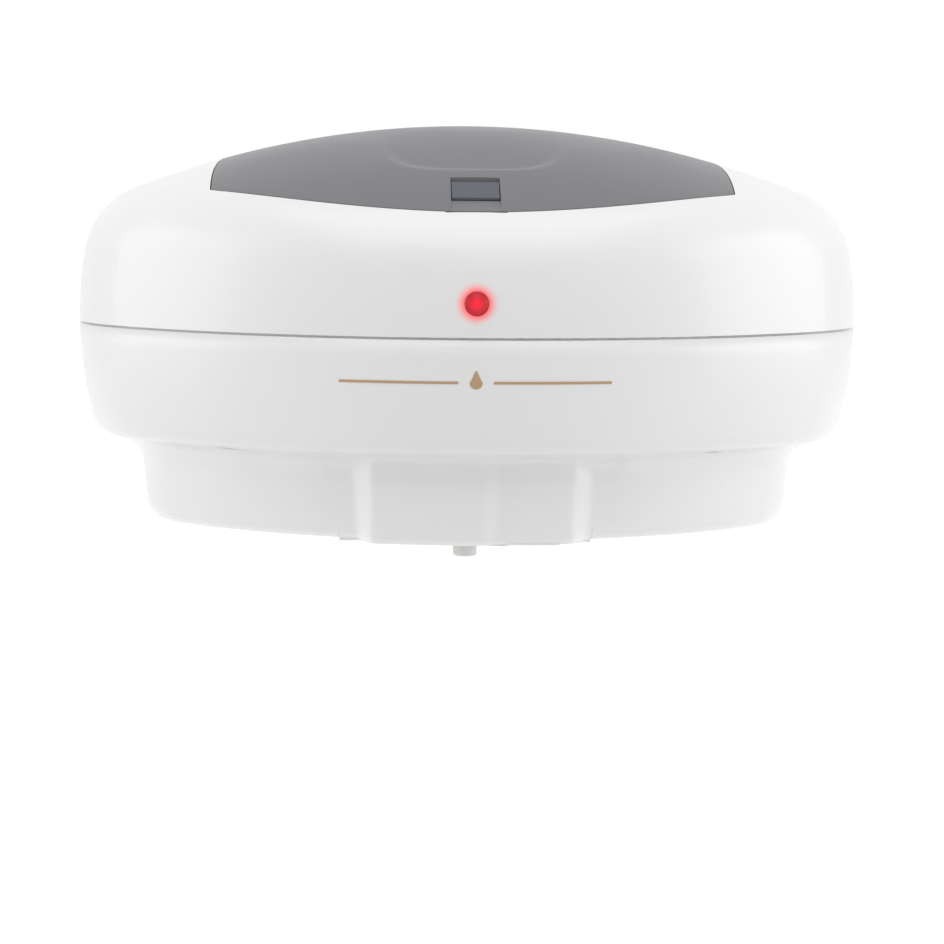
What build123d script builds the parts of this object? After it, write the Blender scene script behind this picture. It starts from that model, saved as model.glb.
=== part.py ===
from build123d import *
from functools import lru_cache
from math import acos, atan2, cos, hypot, pi, radians, sin, sqrt, tan
import os

# Frame: millimetres, +Z up, the user stands at -Y. The origin is the centre of the wall screws,
# on the wall, level with the seam between the two housing shells.

# Overall body
width = 260.0
depth = 118.0
side_run = 26.0
side_radius = 60.0
barrel_radius = 130.0
barrel_mid = 2.0
wall = 2.5
rear_gap = 0.5
rear_recess = 3.2
ledge_z = -36.4
ledge_drop = 3.5
ledge_fillet = 8.0
shoulder_fillet = 27.0
overrun = 20.0
core_inset = 36.0

# Dome over the body
crest_z = 65.9
crest_y = -15.0
shoulder_drop = 36.24
front_slope = 45.0
crown_radius = 280.0
crown_growth = 1.35
dome_beyond = 26.0
dome_sections = 7

# Lower section that holds the cells and the pump
section_step = 20.4
section_draft = 2.8
skirt_bottom = -66.2
skirt_fillet = 6.5
cove_fillet = 10.0

# Two raised panels at the front of the lower section
panel_proud = 4.4
panel_step = 1.4
panel_drop = 0.9
panel_left = -41.4
panel_mid = 1.8
panel_right = 37.3
panel_side_slope = 0.8
panel_mid_slope = 0.25
panel_tilt = 2.6
panel_root = 11.5
panel_sink = 0.3
panel_cove = 5.0
panel_toe = 4.0

# Seam between the shells
seam_gap = 0.8
tongue_height = 2.6
tongue_inset = 1.3
fit_gap = 0.1

# Lid and its opening
lid_thickness = 2.6
lid_gap = 0.4
lid_front = 105.0
lid_front_radius = 126.0
lid_half = 84.0
lid_half_back = 81.8
lid_side_run = 24.0
lid_side_bow = 2.0
lid_corner = 2.0
lid_seat_gap = 1.0
lid_gasket_gap = 0.3
seat_thickness = 2.4
seat_width = 5.0
riser_wall = 2.2
neck_wall = 2.4
neck_front = 83.0
neck_back = 24.0
shelf_thickness = 2.4
gasket_width = 2.6
hinge_y = -13.0
hinge_z = 57.5
roll_radius = 9.0
roll_wall = 2.4
back_notch = 5.0
hinge_pin_radius = 1.5
lug_radius = 3.3
ear_radius = 2.9
ear_in = 33.0
ear_out = 38.0
ear_reach = 9.0
ear_post = 3.6
lug_in = 38.5
lug_out = 50.0
running_gap = 0.05

# Lid latch
latch_width = 15.0
latch_back = 18.3
latch_gap = 0.3
latch_wall = 1.6
latch_floor = 32.0
latch_ramp = 7.0
latch_ramp_drop = 1.2
latch_pad_drop = 0.4
latch_lip = 0.7
latch_undercut = 3.0
latch_travel = 2.0
latch_nose_width = 8.0
latch_nose_height = 2.2
latch_nose_gap = 0.2
latch_bay_wall = 2.0
latch_spring_radius = 2.2
latch_spring_wire = 0.5
latch_spring_turns = 4

# Soap tank
tank_inset = 15.0
tank_wall = 2.0
tank_floor = -14.0
tank_rim = 27.5
rim_seal = 1.6
tank_back = 14.0
tank_corner = 6.0
tank_rib_reach = 20.0
tank_rib_side_y = -34.0
tank_rib_front_x = 45.0
tank_rib_width = 2.4

# Soap path, on one upright line
spout_x = -1.3
spout_y = -62.0
barb_radius = 2.5
barb_bore = 1.6
barb_length = 6.0
hose_wall = 1.4
hose_overlap = 5.2
strainer_radius = 8.0
strainer_thickness = 1.2
strainer_hole = 0.9
strainer_holes = 10
strainer_ring_shares = (1 / 3, 2 / 3)
clip_height = 1.6
clip_wall = 0.7

# Gear pump
pump_z = -38.0
pump_teeth = 10
pump_module = 1.25
pump_face = 8.0
pump_wall = 2.5
pump_tip_gap = 0.15
pump_side_gap = 0.1
pump_seal = 0.5
pump_cover_thickness = 2.5
seal_ring = 1.2
pressure_angle = 25.0
addendum_share = 0.8
dedendum_share = 1.15
tooth_thinning_share = 0.1
shaft_radius = 1.5
pump_foot = 7.0
pump_foot_thickness = 2.0

# Reduction gear pair and motor
pinion_teeth = 12
gear_teeth = 36
gear_module = 0.5
gear_width = 4.5
pinion_width = 5.0
gear_space = 4.6
hub_length = 2.0
bracket_margin = 5.0
bracket_thickness = 2.0
motor_width = 20.0
motor_height = 15.0
motor_length = 25.0
motor_cap = 3.0
motor_boss_radius = 3.0
motor_boss = 1.5
motor_shaft_radius = 1.0
motor_screw_pitch = 12.0
terminal_width = 2.4
terminal_thickness = 0.5
terminal_length = 3.0

# Nozzle under the floor
nozzle_radius = 3.9
nozzle_tip = -74.4
nozzle_bore = 2.5
nozzle_flange_radius = 7.0
nozzle_flange = 2.0
collar_radius = 6.0
collar_height = 2.0
valve_height = 4.0
valve_slit = 0.3

# Cells, their box and its door
cell_radius = 7.25
cell_length = 50.5
cell_nub_radius = 2.75
cell_nub = 1.0
cell_pitch = 14.8
cell_count = 4
bay_right = -15.0
bay_back = -4.6
bay_length = 56.5
box_wall = 1.5
door_thickness = 2.0
door_gap = 0.25
door_travel = 5.0
lip_length = 4.4
lip_height = 1.2
lip_reach = 1.0
lip_stem = 1.2
lip_count = 3
rib_width = 2.0
grip_width = 24.0
grip_pitch = 2.4
grip_count = 4
grip_height = 0.5
contact_thickness = 0.4
contact_width = 9.0
cell_spring_radius = 3.4
cell_spring_wire = 0.7
cell_spring_turns = 2

# Sensor, switch and indicator
sensor_y = -89.4
sensor_window_length = 30.0
sensor_window_width = 7.0
sensor_spacing = 15.0
sensor_board_z = -54.0
sensor_board_width = 8.0
eye_radius = 2.5
eye_flange_radius = 2.9
eye_length = 7.0
board_thickness = 1.6
led_z = 10.9
led_lens_radius = 3.75
led_lens_proud = 1.6
led_lens_flange_radius = 4.9
led_lens_flange = 1.0
led_radius = 1.5
led_length = 4.0
led_board_width = 14.0
led_board_height = 17.2
switch_x = 42.0
switch_y = -66.0
switch_length = 14.0
switch_width = 7.0
switch_height = 5.0
switch_travel = 4.0
knob_length = 5.0
knob_width = 3.0
knob_proud = 1.5

# Control board
board_left = 50.0
board_right = 85.0
board_back = -14.0
board_front = -56.0
board_z = -50.0
board_inset = 4.0
chip_side = 9.0
chip_height = 1.6
capacitor_radius = 4.0
capacitor_height = 11.0
connector_length = 7.5
connector_width = 5.0
connector_height = 6.0
connector_pitch = 9.0
connector_count = 3
transistor_width = 10.0
transistor_thickness = 4.5
transistor_height = 12.0

# Wall plate
plate_width = 150.0
plate_height = 64.0
plate_z = 2.0
plate_thickness = 2.5
plate_corner = 6.0
plate_window_share = 0.42
screw_pitch_x = 120.0
screw_pitch_z = 36.0
wall_screw_radius = 2.25
countersink_radius = 4.0
countersink_depth = 1.7
tab_x = 44.0
tab_z = 15.0
tab_width = 12.0
tab_stem = 3.0
tab_reach = 7.4
tab_lip = 8.0
tab_lip_thickness = 1.5
hang_gap = 0.2
body_lift = 9.0

# Fasteners and posts
post_radius = 3.5
screw_radius = 1.2
screw_head_radius = 2.3
screw_head = 1.5
thread_depth = 6.0
led_screw_length = 4.2
shell_post_radius = 3.6
shell_stem_radius = 2.5
shell_rib = 1.6
shell_post_inset = 12.2
shell_post_side_y = -24.0
shell_post_front_angle = 33.0
shell_screw_seat = -17.5
shell_screw_length = 25.0
driver_slot = 0.6

# Wires
wire_radius = 0.65
wire_spacing = 1.6
wire_bend = 4.0

# Places worked out from the values above
half = width / 2
dome_step = (depth + dome_beyond) / (dome_sections - 1)
crest_radius = ((depth + crest_y) ** 2 + shoulder_drop ** 2) / (2 * shoulder_drop)
back_wall = rear_recess + wall
floor_top = skirt_bottom + wall
lens_back = depth - wall
pump_pitch = pump_teeth * pump_module / 2
pump_tip = pump_pitch + addendum_share * pump_module
pump_left = spout_x - pump_face / 2
pump_right = spout_x + pump_face / 2
drive_y = spout_y + pump_pitch
idler_y = spout_y - pump_pitch
motor_y = drive_y + (gear_teeth + pinion_teeth) * gear_module / 2
seal_x = pump_right + pump_side_gap
cover_x = seal_x + pump_seal
cover_end = cover_x + pump_cover_thickness
gear_x = cover_end + gear_space
bracket_x = gear_x + gear_width + gear_space / 2
motor_x = bracket_x + bracket_thickness
pump_half_height = pump_tip + pump_wall
pump_half_length = pump_pitch + pump_tip + pump_wall
pump_bottom = pump_z - pump_half_height
pump_top = pump_z + pump_half_height
bay_left = bay_right - cell_count * cell_pitch
bay_front = bay_back - bay_length
cell_z = floor_top + cell_radius + fit_gap
cell_back = bay_back - (bay_length - cell_length) / 2
box_top = cell_z + cell_radius + fit_gap + box_wall
door_left = bay_left + door_gap
door_right = bay_right - door_gap
opening_back = cell_back + lip_stem + 2 * door_gap
opening_front = cell_back - cell_length - lip_stem - 2 * door_gap
panel_bottom = skirt_bottom - panel_drop


def block(x_low, x_high, y_low, y_high, z_low, z_high):
    """A box between two corners."""
    size = Box(x_high - x_low, y_high - y_low, z_high - z_low)
    return Pos((x_low + x_high) / 2, (y_low + y_high) / 2, (z_low + z_high) / 2) * size


def rod_x(x_low, x_high, y, z, radius):
    """A cylinder along X."""
    return Pos((x_low + x_high) / 2, y, z) * Rot(0, 90, 0) * Cylinder(radius, x_high - x_low)


def rod_y(y_low, y_high, x, z, radius):
    """A cylinder along Y."""
    return Pos(x, (y_low + y_high) / 2, z) * Rot(90, 0, 0) * Cylinder(radius, y_high - y_low)


def rod_z(z_low, z_high, x, y, radius):
    """A cylinder along Z."""
    return Pos(x, y, (z_low + z_high) / 2) * Cylinder(radius, z_high - z_low)


def group(solids):
    """Several separate solids kept as one node."""
    return Compound(children=[solid for item in solids for solid in item.solids()])


def plan_edges(half_width, front, run, radius, back):
    """Edges of a D-shaped plan, from the right end of the back round the front to the left end."""
    rise = front - run
    front_radius = (half_width ** 2 + rise ** 2 - 2 * half_width * radius) / (2 * (rise - radius))
    centre_y = front_radius - front
    corner_x = half_width - radius
    reach = hypot(corner_x, run + centre_y)
    turn = atan2(run + centre_y, corner_x)
    touch_x = corner_x * (1 + radius / reach)
    touch_y = -run - radius * sin(turn)
    middle_x = corner_x + radius * cos(turn / 2)
    middle_y = -run - radius * sin(turn / 2)
    return [
        Line((half_width, back), (half_width, -run)),
        ThreePointArc((half_width, -run), (middle_x, middle_y), (touch_x, touch_y)),
        ThreePointArc((touch_x, touch_y), (0, -front), (-touch_x, touch_y)),
        ThreePointArc((-touch_x, touch_y), (-middle_x, middle_y), (-half_width, -run)),
        Line((-half_width, -run), (-half_width, back)),
    ]


def plan_prism(half_width, front, run, radius, back, z_low, z_high):
    """A prism over a D-shaped plan whose straight back lies at y = back."""
    closing = Line((-half_width, back), (half_width, back))
    face = make_face(plan_edges(half_width, front, run, radius, back) + [closing])
    return Pos(0, 0, z_low) * extrude(face, amount=z_high - z_low, dir=(0, 0, 1))


def wall_x(z, inset):
    """Half width of the barrel-shaped side wall at height z."""
    radius = barrel_radius - inset
    return half - barrel_radius + sqrt(radius ** 2 - (z - barrel_mid) ** 2)


def barrel_block(inset, z_low, z_high):
    """The body between two heights, with its gently barrelled wall, before the dome cuts it."""
    z_mid = (z_low + z_high) / 2
    core_x = half - core_inset
    corners = [(wall_x(z_low, inset), z_low), (core_x, z_low), (core_x, z_high)]
    corners.append((wall_x(z_high, inset), z_high))
    bow = ThreePointArc(corners[0], (wall_x(z_mid, inset), z_mid), corners[3])
    profile = make_face(Polyline(*corners).edges() + bow.edges())
    return swept_ring(profile, inset) + body_core(z_low, z_high)


def crest_height(y, inset):
    """Height of the dome's middle line: an arc over the back, then a straight fall to the front."""
    radius = crest_radius - inset
    slope = radians(front_slope)
    centre_z = crest_z - crest_radius
    touch_y = crest_y - radius * sin(slope)
    if y < touch_y:
        return centre_z + radius * cos(slope) - (touch_y - y) * tan(slope)
    return centre_z + sqrt(radius ** 2 - (y - crest_y) ** 2)


def dome_block(inset, z_low):
    """Everything under the dome: a loft through cross sections that flatten towards the front."""
    sections = []
    reach = half + overrun
    for index in range(dome_sections):
        y = dome_step * (0.5 - index)
        crown = crown_radius * (1 + (crown_growth - 1) * index / (dome_sections - 1)) - inset
        top = crest_height(y, inset)
        edge = top - crown + sqrt(crown ** 2 - reach ** 2)
        station = Plane(origin=(0, y, 0), x_dir=(1, 0, 0), z_dir=(0, -1, 0))
        crown_arc = ThreePointArc((reach, edge), (0, top), (-reach, edge))
        base = Polyline((-reach, edge), (-reach, z_low), (reach, z_low), (reach, edge))
        sections.append(make_face([station * part for part in crown_arc.edges() + base.edges()]))
    return loft(sections)


def in_front_of(y, z_low, z_high):
    """A slab that holds everything in front of y."""
    return block(-width, width, -2 * depth, y, z_low, z_high)


@lru_cache(maxsize=None)
def body_form(inset, back, z_low):
    """The body's outer form, or the same form shrunk by an inset, down to z_low."""
    high = crest_z + wall
    form = barrel_block(inset, z_low, high) & dome_block(inset, z_low - 2 * overrun)
    form = form & in_front_of(-back, z_low, high)
    crown = max(form.faces(), key=lambda face: face.center().Z)
    rim = [edge for edge in crown.edges() if (edge @ 0.5).Y < -back - wall]
    if inset < shoulder_fillet:
        form = fillet(rim, radius=shoulder_fillet - inset)
    return form


def ledge_height(x, inset):
    """Height of the sloping ledge, raised by an inset, at a distance from the middle."""
    run = section_step - half + wall_x(ledge_z, 0)
    slope = ledge_drop / run
    return ledge_z - slope * (wall_x(ledge_z, 0) - x) + inset * hypot(1, slope)


def round_corner(face, place, radius):
    """A flat face with its corner at a place rounded."""
    corner = min(face.vertices(), key=lambda point: (Vector(point) - Vector(*place)).length)
    return fillet(corner, radius=radius)


def swept_ring(profile, inset):
    """A profile of distances and heights carried round the body's plan."""
    path = Wire(plan_edges(half - inset, depth - inset, side_run, side_radius - inset, overrun))
    station = Plane(origin=(0, overrun, 0), x_dir=(1, 0, 0), z_dir=(0, -1, 0))
    return sweep(station * profile, path=path)


def body_core(z_low, z_high):
    """The middle of the body, which the swept rings close round."""
    core_radius = side_radius - core_inset + wall
    return plan_prism(
        half - core_inset + wall, depth - core_inset + wall, side_run, core_radius, overrun, z_low, z_high
    )


def lower_form(inset, z_high):
    """The body from a height down: barrelled wall, sloping ledge and the section under it."""
    low = skirt_bottom + inset
    core_x = half - core_inset
    section_x = half - section_step - inset
    ledge_x = wall_x(ledge_z, inset)
    ledge_corner = (ledge_x, ledge_height(ledge_x, inset))
    cove_corner = (section_x, ledge_height(section_x, inset))
    toe_corner = (section_x - section_draft, low)
    z_mid = (ledge_corner[1] + z_high) / 2
    high = (wall_x(z_high, inset), z_high)
    bow = ThreePointArc(ledge_corner, (wall_x(z_mid, inset), z_mid), high)
    rest = Polyline(ledge_corner, cove_corner, toe_corner, (core_x, low), (core_x, z_high), high)
    profile = make_face(rest.edges() + bow.edges())
    profile = round_corner(profile, ledge_corner, ledge_fillet - inset)
    profile = round_corner(profile, cove_corner, cove_fillet + inset)
    profile = round_corner(profile, toe_corner, skirt_fillet - inset)
    return swept_ring(profile, inset) + body_core(low, z_high)


def front_radius():
    """Radius of the body's bowed front, seen from above."""
    rise = depth - side_run
    return (half ** 2 + rise ** 2 - 2 * half * side_radius) / (2 * (rise - side_radius))


def panel_corners(inset, shift, sides):
    """Plan of a panel: two slanting sides that stand on the section's front, and a back."""
    fore = 2 * panel_proud
    radius = front_radius()
    corners = []
    for foot, slope, sign in sides:
        x = foot + sign * (shift + inset * hypot(1, 1 / slope))
        y = radius - depth - sqrt((radius - section_step) ** 2 - foot ** 2)
        near = (x + sign * fore / slope, y - fore)
        far = (x - sign * section_draft / slope, y + section_draft)
        back = (far[0], -depth / 2)
        corners.append([back, far, near])
    return corners[0] + corners[1][::-1]


def panel_form(inset, low, proud, sides):
    """One raised panel: a ring that stands proud of the section, cut off by its slanting sides."""
    core_x = half - core_inset
    root_x = half - panel_root
    section_x = half - section_step + proud - inset
    toe_x = section_x - section_draft
    root_z = ledge_height(root_x, inset) + panel_sink
    cove_corner = (section_x, ledge_height(section_x, inset) + panel_sink)
    outline = Polyline(
        (core_x, root_z), (root_x, root_z), cove_corner, (toe_x, low), (core_x, low), close=True
    )
    profile = round_corner(make_face(outline), cove_corner, panel_cove + inset)
    profile = round_corner(profile, (toe_x, low), panel_toe - inset)
    top = Pos(0, 0, ledge_z + inset) * make_face(Polyline(*panel_corners(inset, 0, sides), close=True))
    foot = Pos(0, 0, low) * make_face(Polyline(*panel_corners(inset, panel_tilt, sides), close=True))
    return swept_ring(profile, inset) & loft([foot, top])


def lid_prism(inset, front_inset, z_low, z_high):
    """A prism over the lid's plan, drawn in by an inset at the sides and by another at the front."""
    radius = lid_front_radius - front_inset
    side = lid_half - inset
    side_back = lid_half_back - inset
    front = -lid_front + front_inset
    corner_y = front + radius - sqrt(radius ** 2 - side ** 2)
    mid_x = (side + side_back + lid_side_bow) / 2
    mid_y = (corner_y - lid_side_run) / 2
    edges = [
        ThreePointArc((-side, corner_y), (0, front), (side, corner_y)),
        ThreePointArc((side, corner_y), (mid_x, mid_y), (side_back, -lid_side_run)),
        Line((side_back, -lid_side_run), (side_back, 0)),
        Line((side_back, 0), (-side_back, 0)),
        Line((-side_back, 0), (-side_back, -lid_side_run)),
        ThreePointArc((-side_back, -lid_side_run), (-mid_x, mid_y), (-side, corner_y)),
    ]
    prism = Pos(0, 0, z_low) * extrude(make_face(edges), amount=z_high - z_low, dir=(0, 0, 1))
    corners = [edge for edge in prism.edges().filter_by(Axis.Z) if (edge @ 0.5).Y < corner_y / 2]
    return fillet(corners, radius=lid_corner)


def lid_region(gap):
    """The space of the lid: in front of its hinge line, or within the rolled rear edge."""
    front = block(-width, width, -2 * depth, hinge_y, 0, 2 * crest_z)
    roll = rod_x(-width, width, hinge_y, hinge_z, roll_radius + gap)
    return lid_prism(-gap, -gap, 0, 2 * crest_z) & (front + roll)


def shell_post_places():
    """Plan places of the four screws that join the two shells, each with its way to the wall."""
    angle = radians(shell_post_front_angle)
    reach = front_radius() - shell_post_inset
    front_x = reach * sin(angle)
    front_y = front_radius() - depth - reach * cos(angle)
    side_x = half - shell_post_inset
    turn = shell_post_front_angle - 90
    return [
        (side_x, shell_post_side_y, 0), (-side_x, shell_post_side_y, 180),
        (front_x, front_y, turn), (-front_x, front_y, 180 - turn),
    ]


def pocket(margin, y_low, y_high):
    """The shallow space in the back of the housing that hides the wall plate."""
    low = plate_z - plate_height / 2 - body_lift - fit_gap - margin
    high = plate_z + plate_height / 2 + 2 * fit_gap + margin
    reach = plate_width / 2 + 2 * fit_gap + margin
    return block(-reach, reach, y_low, y_high, low, high)


def tab_windows():
    """Four slots that let the housing drop over the wall plate's tabs."""
    reach = tab_width / 2 + door_gap
    slots = []
    for x in (-tab_x, tab_x):
        for z in (-tab_z, tab_z):
            top = z + tab_stem / 2 + hang_gap
            low = z - tab_stem / 2 - body_lift - hang_gap
            slots.append(block(x - reach, x + reach, -back_wall - wall, 0, low, top))
    return slots


def half_space(z_low, z_high):
    """A slab between two heights."""
    return block(-width, width, -2 * depth, overrun, z_low, z_high)


def upper_cover():
    """Upper shell: dome, lid opening with its seat and neck, hinge ears and screw bosses."""
    low = seam_gap / 2
    rear = rear_gap + wall
    seat_inset = lid_thickness + lid_seat_gap
    neck_low = tank_rim + rim_seal
    shelf_top = hinge_z - roll_radius - 2 * lid_gap
    inside = body_form(wall, rear, -overrun)
    shell = body_form(0, rear_gap, low) - inside
    riser = lid_prism(-lid_gap - riser_wall, -lid_gap - riser_wall, neck_low, 2 * crest_z)
    seat_top = body_form(seat_inset, rear, 0)
    seat = riser & (seat_top - body_form(seat_inset + seat_thickness, rear, 0))
    riser = (riser - lid_prism(-lid_gap, -lid_gap, 0, 2 * crest_z)) & seat_riser_space(seat_inset)
    neck = neck_prism(-neck_wall, neck_low, crest_z) & seat_top
    shelf = block(
        -lid_half_back, lid_half_back, -neck_back, -rear, shelf_top - shelf_thickness, shelf_top
    )
    shell = shell + seat + riser + neck + (shelf & inside) + latch_bay(True)
    shell = shell - neck_prism(0, 0, 2 * crest_z) - latch_bay(False)
    shell = shell - (lid_region(lid_gap) - body_form(seat_inset, rear, 0))
    shell = shell - rod_x(-riser_reach(), riser_reach(), hinge_y, hinge_z, roll_radius + 2 * lid_gap)
    notch = block(-riser_reach(), riser_reach(), hinge_y, 0, hinge_z - back_notch, 2 * crest_z)
    shell = shell - notch
    for side in (-1, 1):
        x_low, x_high = sorted((side * ear_in, side * ear_out))
        ear = rod_x(x_low, x_high, hinge_y, hinge_z, ear_radius)
        ear_front = hinge_y - ear_reach
        ear = ear + block(x_low, x_high, ear_front, hinge_y, hinge_z - ear_radius, hinge_z + ear_radius)
        ear = ear + block(x_low, x_high, ear_front, ear_front + ear_post, shelf_top, hinge_z)
        shell = shell + ear - rod_x(x_low, x_high, hinge_y, hinge_z, hinge_pin_radius)
    boss_top = shell_screw_seat + shell_screw_length + screw_radius
    for x, y, turn in shell_post_places():
        rib = Pos(x, y, 0) * Rot(0, 0, turn) * block(
            0, shell_post_inset + wall, -shell_rib / 2, shell_rib / 2, low, boss_top
        )
        boss = (rod_z(low, boss_top, x, y, shell_stem_radius) + rib) & body_form(fit_gap, rear_gap, 0)
        shell = shell + boss - rod_z(low, boss_top - screw_radius, x, y, screw_radius)
    tray = pocket(wall, -back_wall, -rear_gap - fit_gap) & half_space(low, 2 * crest_z)
    shell = shell + tray - pocket(0, -rear_recess, 0) - tongue_space()
    for slot in tab_windows():
        shell = shell - slot
    shell = shell - rod_y(-depth - overrun, -depth + overrun, 0, led_z, led_lens_radius + fit_gap)
    for post in led_posts():
        shell = shell + post
    back = -(lens_back - led_lens_flange) + led_length / 2 + fit_gap
    hole_end = back + board_thickness - led_screw_length - fit_gap
    for z in led_post_heights():
        shell = shell - rod_y(hole_end, back + fit_gap, 0, z, screw_radius)
    return shell


def tongue_space():
    """The groove in the cover's lower edge that takes the lower shell's tongue."""
    skin = tongue_inset - fit_gap
    inset = wall + fit_gap
    outer = barrel_block(skin, -overrun, tongue_height) & in_front_of(-rear_gap - skin, -overrun, overrun)
    inner = barrel_block(inset, -2 * overrun, overrun) & in_front_of(-rear_gap - inset, -2 * overrun, overrun)
    return outer - inner


def riser_reach():
    """Half width of the notch that frees the lid's rolled rear edge."""
    return lid_half_back + lid_gap


def seat_riser_space(seat_inset):
    """The height band of the step between the skin and the lid's seat."""
    rear = rear_gap + wall
    return body_form(fit_gap, rear_gap, 0) - body_form(seat_inset + seat_thickness, rear, 0)


def neck_prism(wall_inset, z_low, z_high):
    """The filling neck under the lid: its plan, grown by a wall where wall_inset is negative."""
    plan = lid_prism(seat_width + wall_inset, lid_front - neck_front + wall_inset, z_low, z_high)
    return plan & block(-width, width, -depth, -neck_back - wall_inset, z_low, z_high)


def latch_bay(solid):
    """The bay behind the lid's front edge, as a solid tub or as the space that it holds."""
    reach = latch_width / 2 + latch_gap + latch_wall + latch_gap
    back = -lid_front + latch_back + latch_wall + latch_travel
    low = latch_floor - lid_gap
    if solid:
        tub = block(
            -reach - latch_bay_wall, reach + latch_bay_wall, -lid_front - lid_gap - riser_wall,
            back + latch_bay_wall, low - latch_bay_wall, crest_z,
        )
        return tub & body_form(lid_thickness + lid_seat_gap, rear_gap + wall, 0)
    return block(-reach, reach, -lid_front - lid_gap, back, low, crest_z)


def lid():
    """Smoked lid: a domed plate with a rolled rear edge, hinge lugs and the latch's rails."""
    region = lid_region(0)
    plate = region & (body_form(0, rear_gap, 0) - body_form(lid_thickness, rear_gap, 0))
    roll = rod_x(-width, width, hinge_y, hinge_z, roll_radius)
    roll = roll - rod_x(-width, width, hinge_y, hinge_z, roll_radius - roll_wall)
    roll = roll & block(-width, width, hinge_y, 0, hinge_z - back_notch + lid_gap, 2 * crest_z)
    roll = roll & lid_prism(0, 0, 0, 2 * crest_z) & body_form(0, rear_gap, 0)
    shell = plate + roll
    for side in (-1, 1):
        x_low, x_high = sorted((side * lug_in, side * lug_out))
        lug = rod_x(x_low, x_high, hinge_y, hinge_z, lug_radius)
        rib = block(x_low, x_high, hinge_y - lug_radius, hinge_y + lug_radius, hinge_z, 2 * crest_z)
        shell = shell + ((lug + rib) & body_form(0, rear_gap, 0) & region)
        shell = shell - rod_x(x_low, x_high, hinge_y, hinge_z, hinge_pin_radius + running_gap)
    inner = latch_width / 2 + latch_gap
    outer = inner + latch_wall
    back = -lid_front + latch_back + latch_travel
    tray = block(-outer, outer, -lid_front, back, latch_floor, crest_z)
    tray = tray - block(-inner, inner, -lid_front, back - latch_wall, latch_floor + latch_wall, crest_z)
    shell = shell + (tray & body_form(lid_thickness / 2, rear_gap, 0))
    return shell - latch_opening()


def latch_opening():
    """The finger ramp and the slot in the lid's skin over the latch."""
    inner = latch_width / 2 + latch_gap
    back = -lid_front + latch_back
    ramp_end = -lid_front + latch_ramp
    top = crest_height(ramp_end, 0)
    front_top = crest_height(-lid_front, 0)
    wedge = Polyline(
        (-lid_front, front_top), (ramp_end, top - latch_ramp_drop), (ramp_end, 2 * crest_z),
        (-lid_front, 2 * crest_z), close=True,
    )
    face = make_face([Plane.YZ * edge for edge in wedge.edges()])
    ramp = Pos(-inner, 0, 0) * extrude(face, amount=2 * inner, dir=(1, 0, 0))
    return ramp + block(-inner, inner, ramp_end, back, latch_floor + latch_wall, 2 * crest_z)


def lid_gasket():
    """Soft ring on the seat, round the filling neck, just under the closed lid."""
    rear = rear_gap + wall
    layer = body_form(lid_thickness + lid_gasket_gap, rear, 0)
    layer = layer - body_form(lid_thickness + lid_seat_gap, rear, 0)
    ring = neck_prism(-gasket_width, 0, 2 * crest_z) - neck_prism(0, 0, 2 * crest_z)
    front = block(-width, width, -2 * depth, -neck_back, 0, 2 * crest_z)
    return ring & front & (layer - latch_bay(True) - latch_bay(False))


def hinge_pins():
    """Two steel pins that the lid's lugs turn on."""
    pins = []
    for side in (-1, 1):
        x_low, x_high = sorted((side * ear_in, side * lug_out))
        pins.append(rod_x(x_low, x_high, hinge_y, hinge_z, hinge_pin_radius))
    return group(pins)


def latch_button():
    """Finger button: a sloping pad in the lid's slot on a slider with a nose at the front."""
    inner = latch_width / 2
    pad_front = -lid_front + latch_ramp + latch_gap
    pad_back = -lid_front + latch_back - latch_travel - latch_gap
    low = latch_floor + latch_wall + fit_gap
    slider = block(-inner, inner, -lid_front + latch_gap, pad_back, low, crest_z)
    slider = slider & body_form(lid_thickness + 2 * latch_gap, rear_gap + wall, 0)
    shoulder = crest_height(pad_front, 0) - latch_pad_drop
    slider = slider - block(-inner, inner, -depth, pad_front, shoulder - latch_gap, crest_z)
    top = crest_height(pad_back, 0) - latch_gap
    slope = Polyline((pad_front, low), (pad_front, shoulder), (pad_back, top), (pad_back, low), close=True)
    face = make_face([Plane.YZ * edge for edge in slope.edges()])
    pad = Pos(-inner, 0, 0) * extrude(face, amount=2 * inner, dir=(1, 0, 0))
    lip = shoulder - latch_lip
    pad = pad - block(-inner, inner, pad_front, pad_front + latch_undercut, lip - latch_ramp_drop, lip)
    nose = block(
        -latch_nose_width / 2, latch_nose_width / 2, -lid_front - lid_gap + latch_nose_gap,
        -lid_front + latch_ramp, low, low + latch_nose_height,
    )
    seat = rod_y(pad_back - latch_ramp / 2, pad_back, 0, spring_height(), latch_spring_radius + fit_gap)
    return slider + pad + nose - seat


def spring_height():
    """Height of the latch spring's axis."""
    return latch_floor + latch_wall + latch_spring_radius + 2 * latch_gap


def coil(radius, wire, length, turns):
    """A coil of wire that climbs along +Z, swept along short arcs of a helix."""
    steps = turns * 4
    points = []
    for index in range(2 * steps + 1):
        share = index / (2 * steps)
        angle = 2 * pi * turns * share
        points.append((radius * cos(angle), radius * sin(angle), length * share))
    arcs = [ThreePointArc(*points[2 * step : 2 * step + 3]) for step in range(steps)]
    path = Wire(arcs)
    start = Plane(origin=path @ 0, z_dir=path % 0)
    return sweep(start * Circle(wire / 2), path=path)


def latch_spring():
    """Light spring that pushes the latch forwards."""
    back = -lid_front + latch_back + latch_travel - latch_wall
    pad_back = -lid_front + latch_back - latch_travel - latch_gap
    front = pad_back - latch_ramp / 2
    length = back - front - latch_spring_wire - 2 * fit_gap
    spring = coil(latch_spring_radius - latch_spring_wire / 2, latch_spring_wire, length, latch_spring_turns)
    return Pos(0, front + latch_spring_wire / 2 + fit_gap, spring_height()) * Rot(-90, 0, 0) * spring


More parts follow.
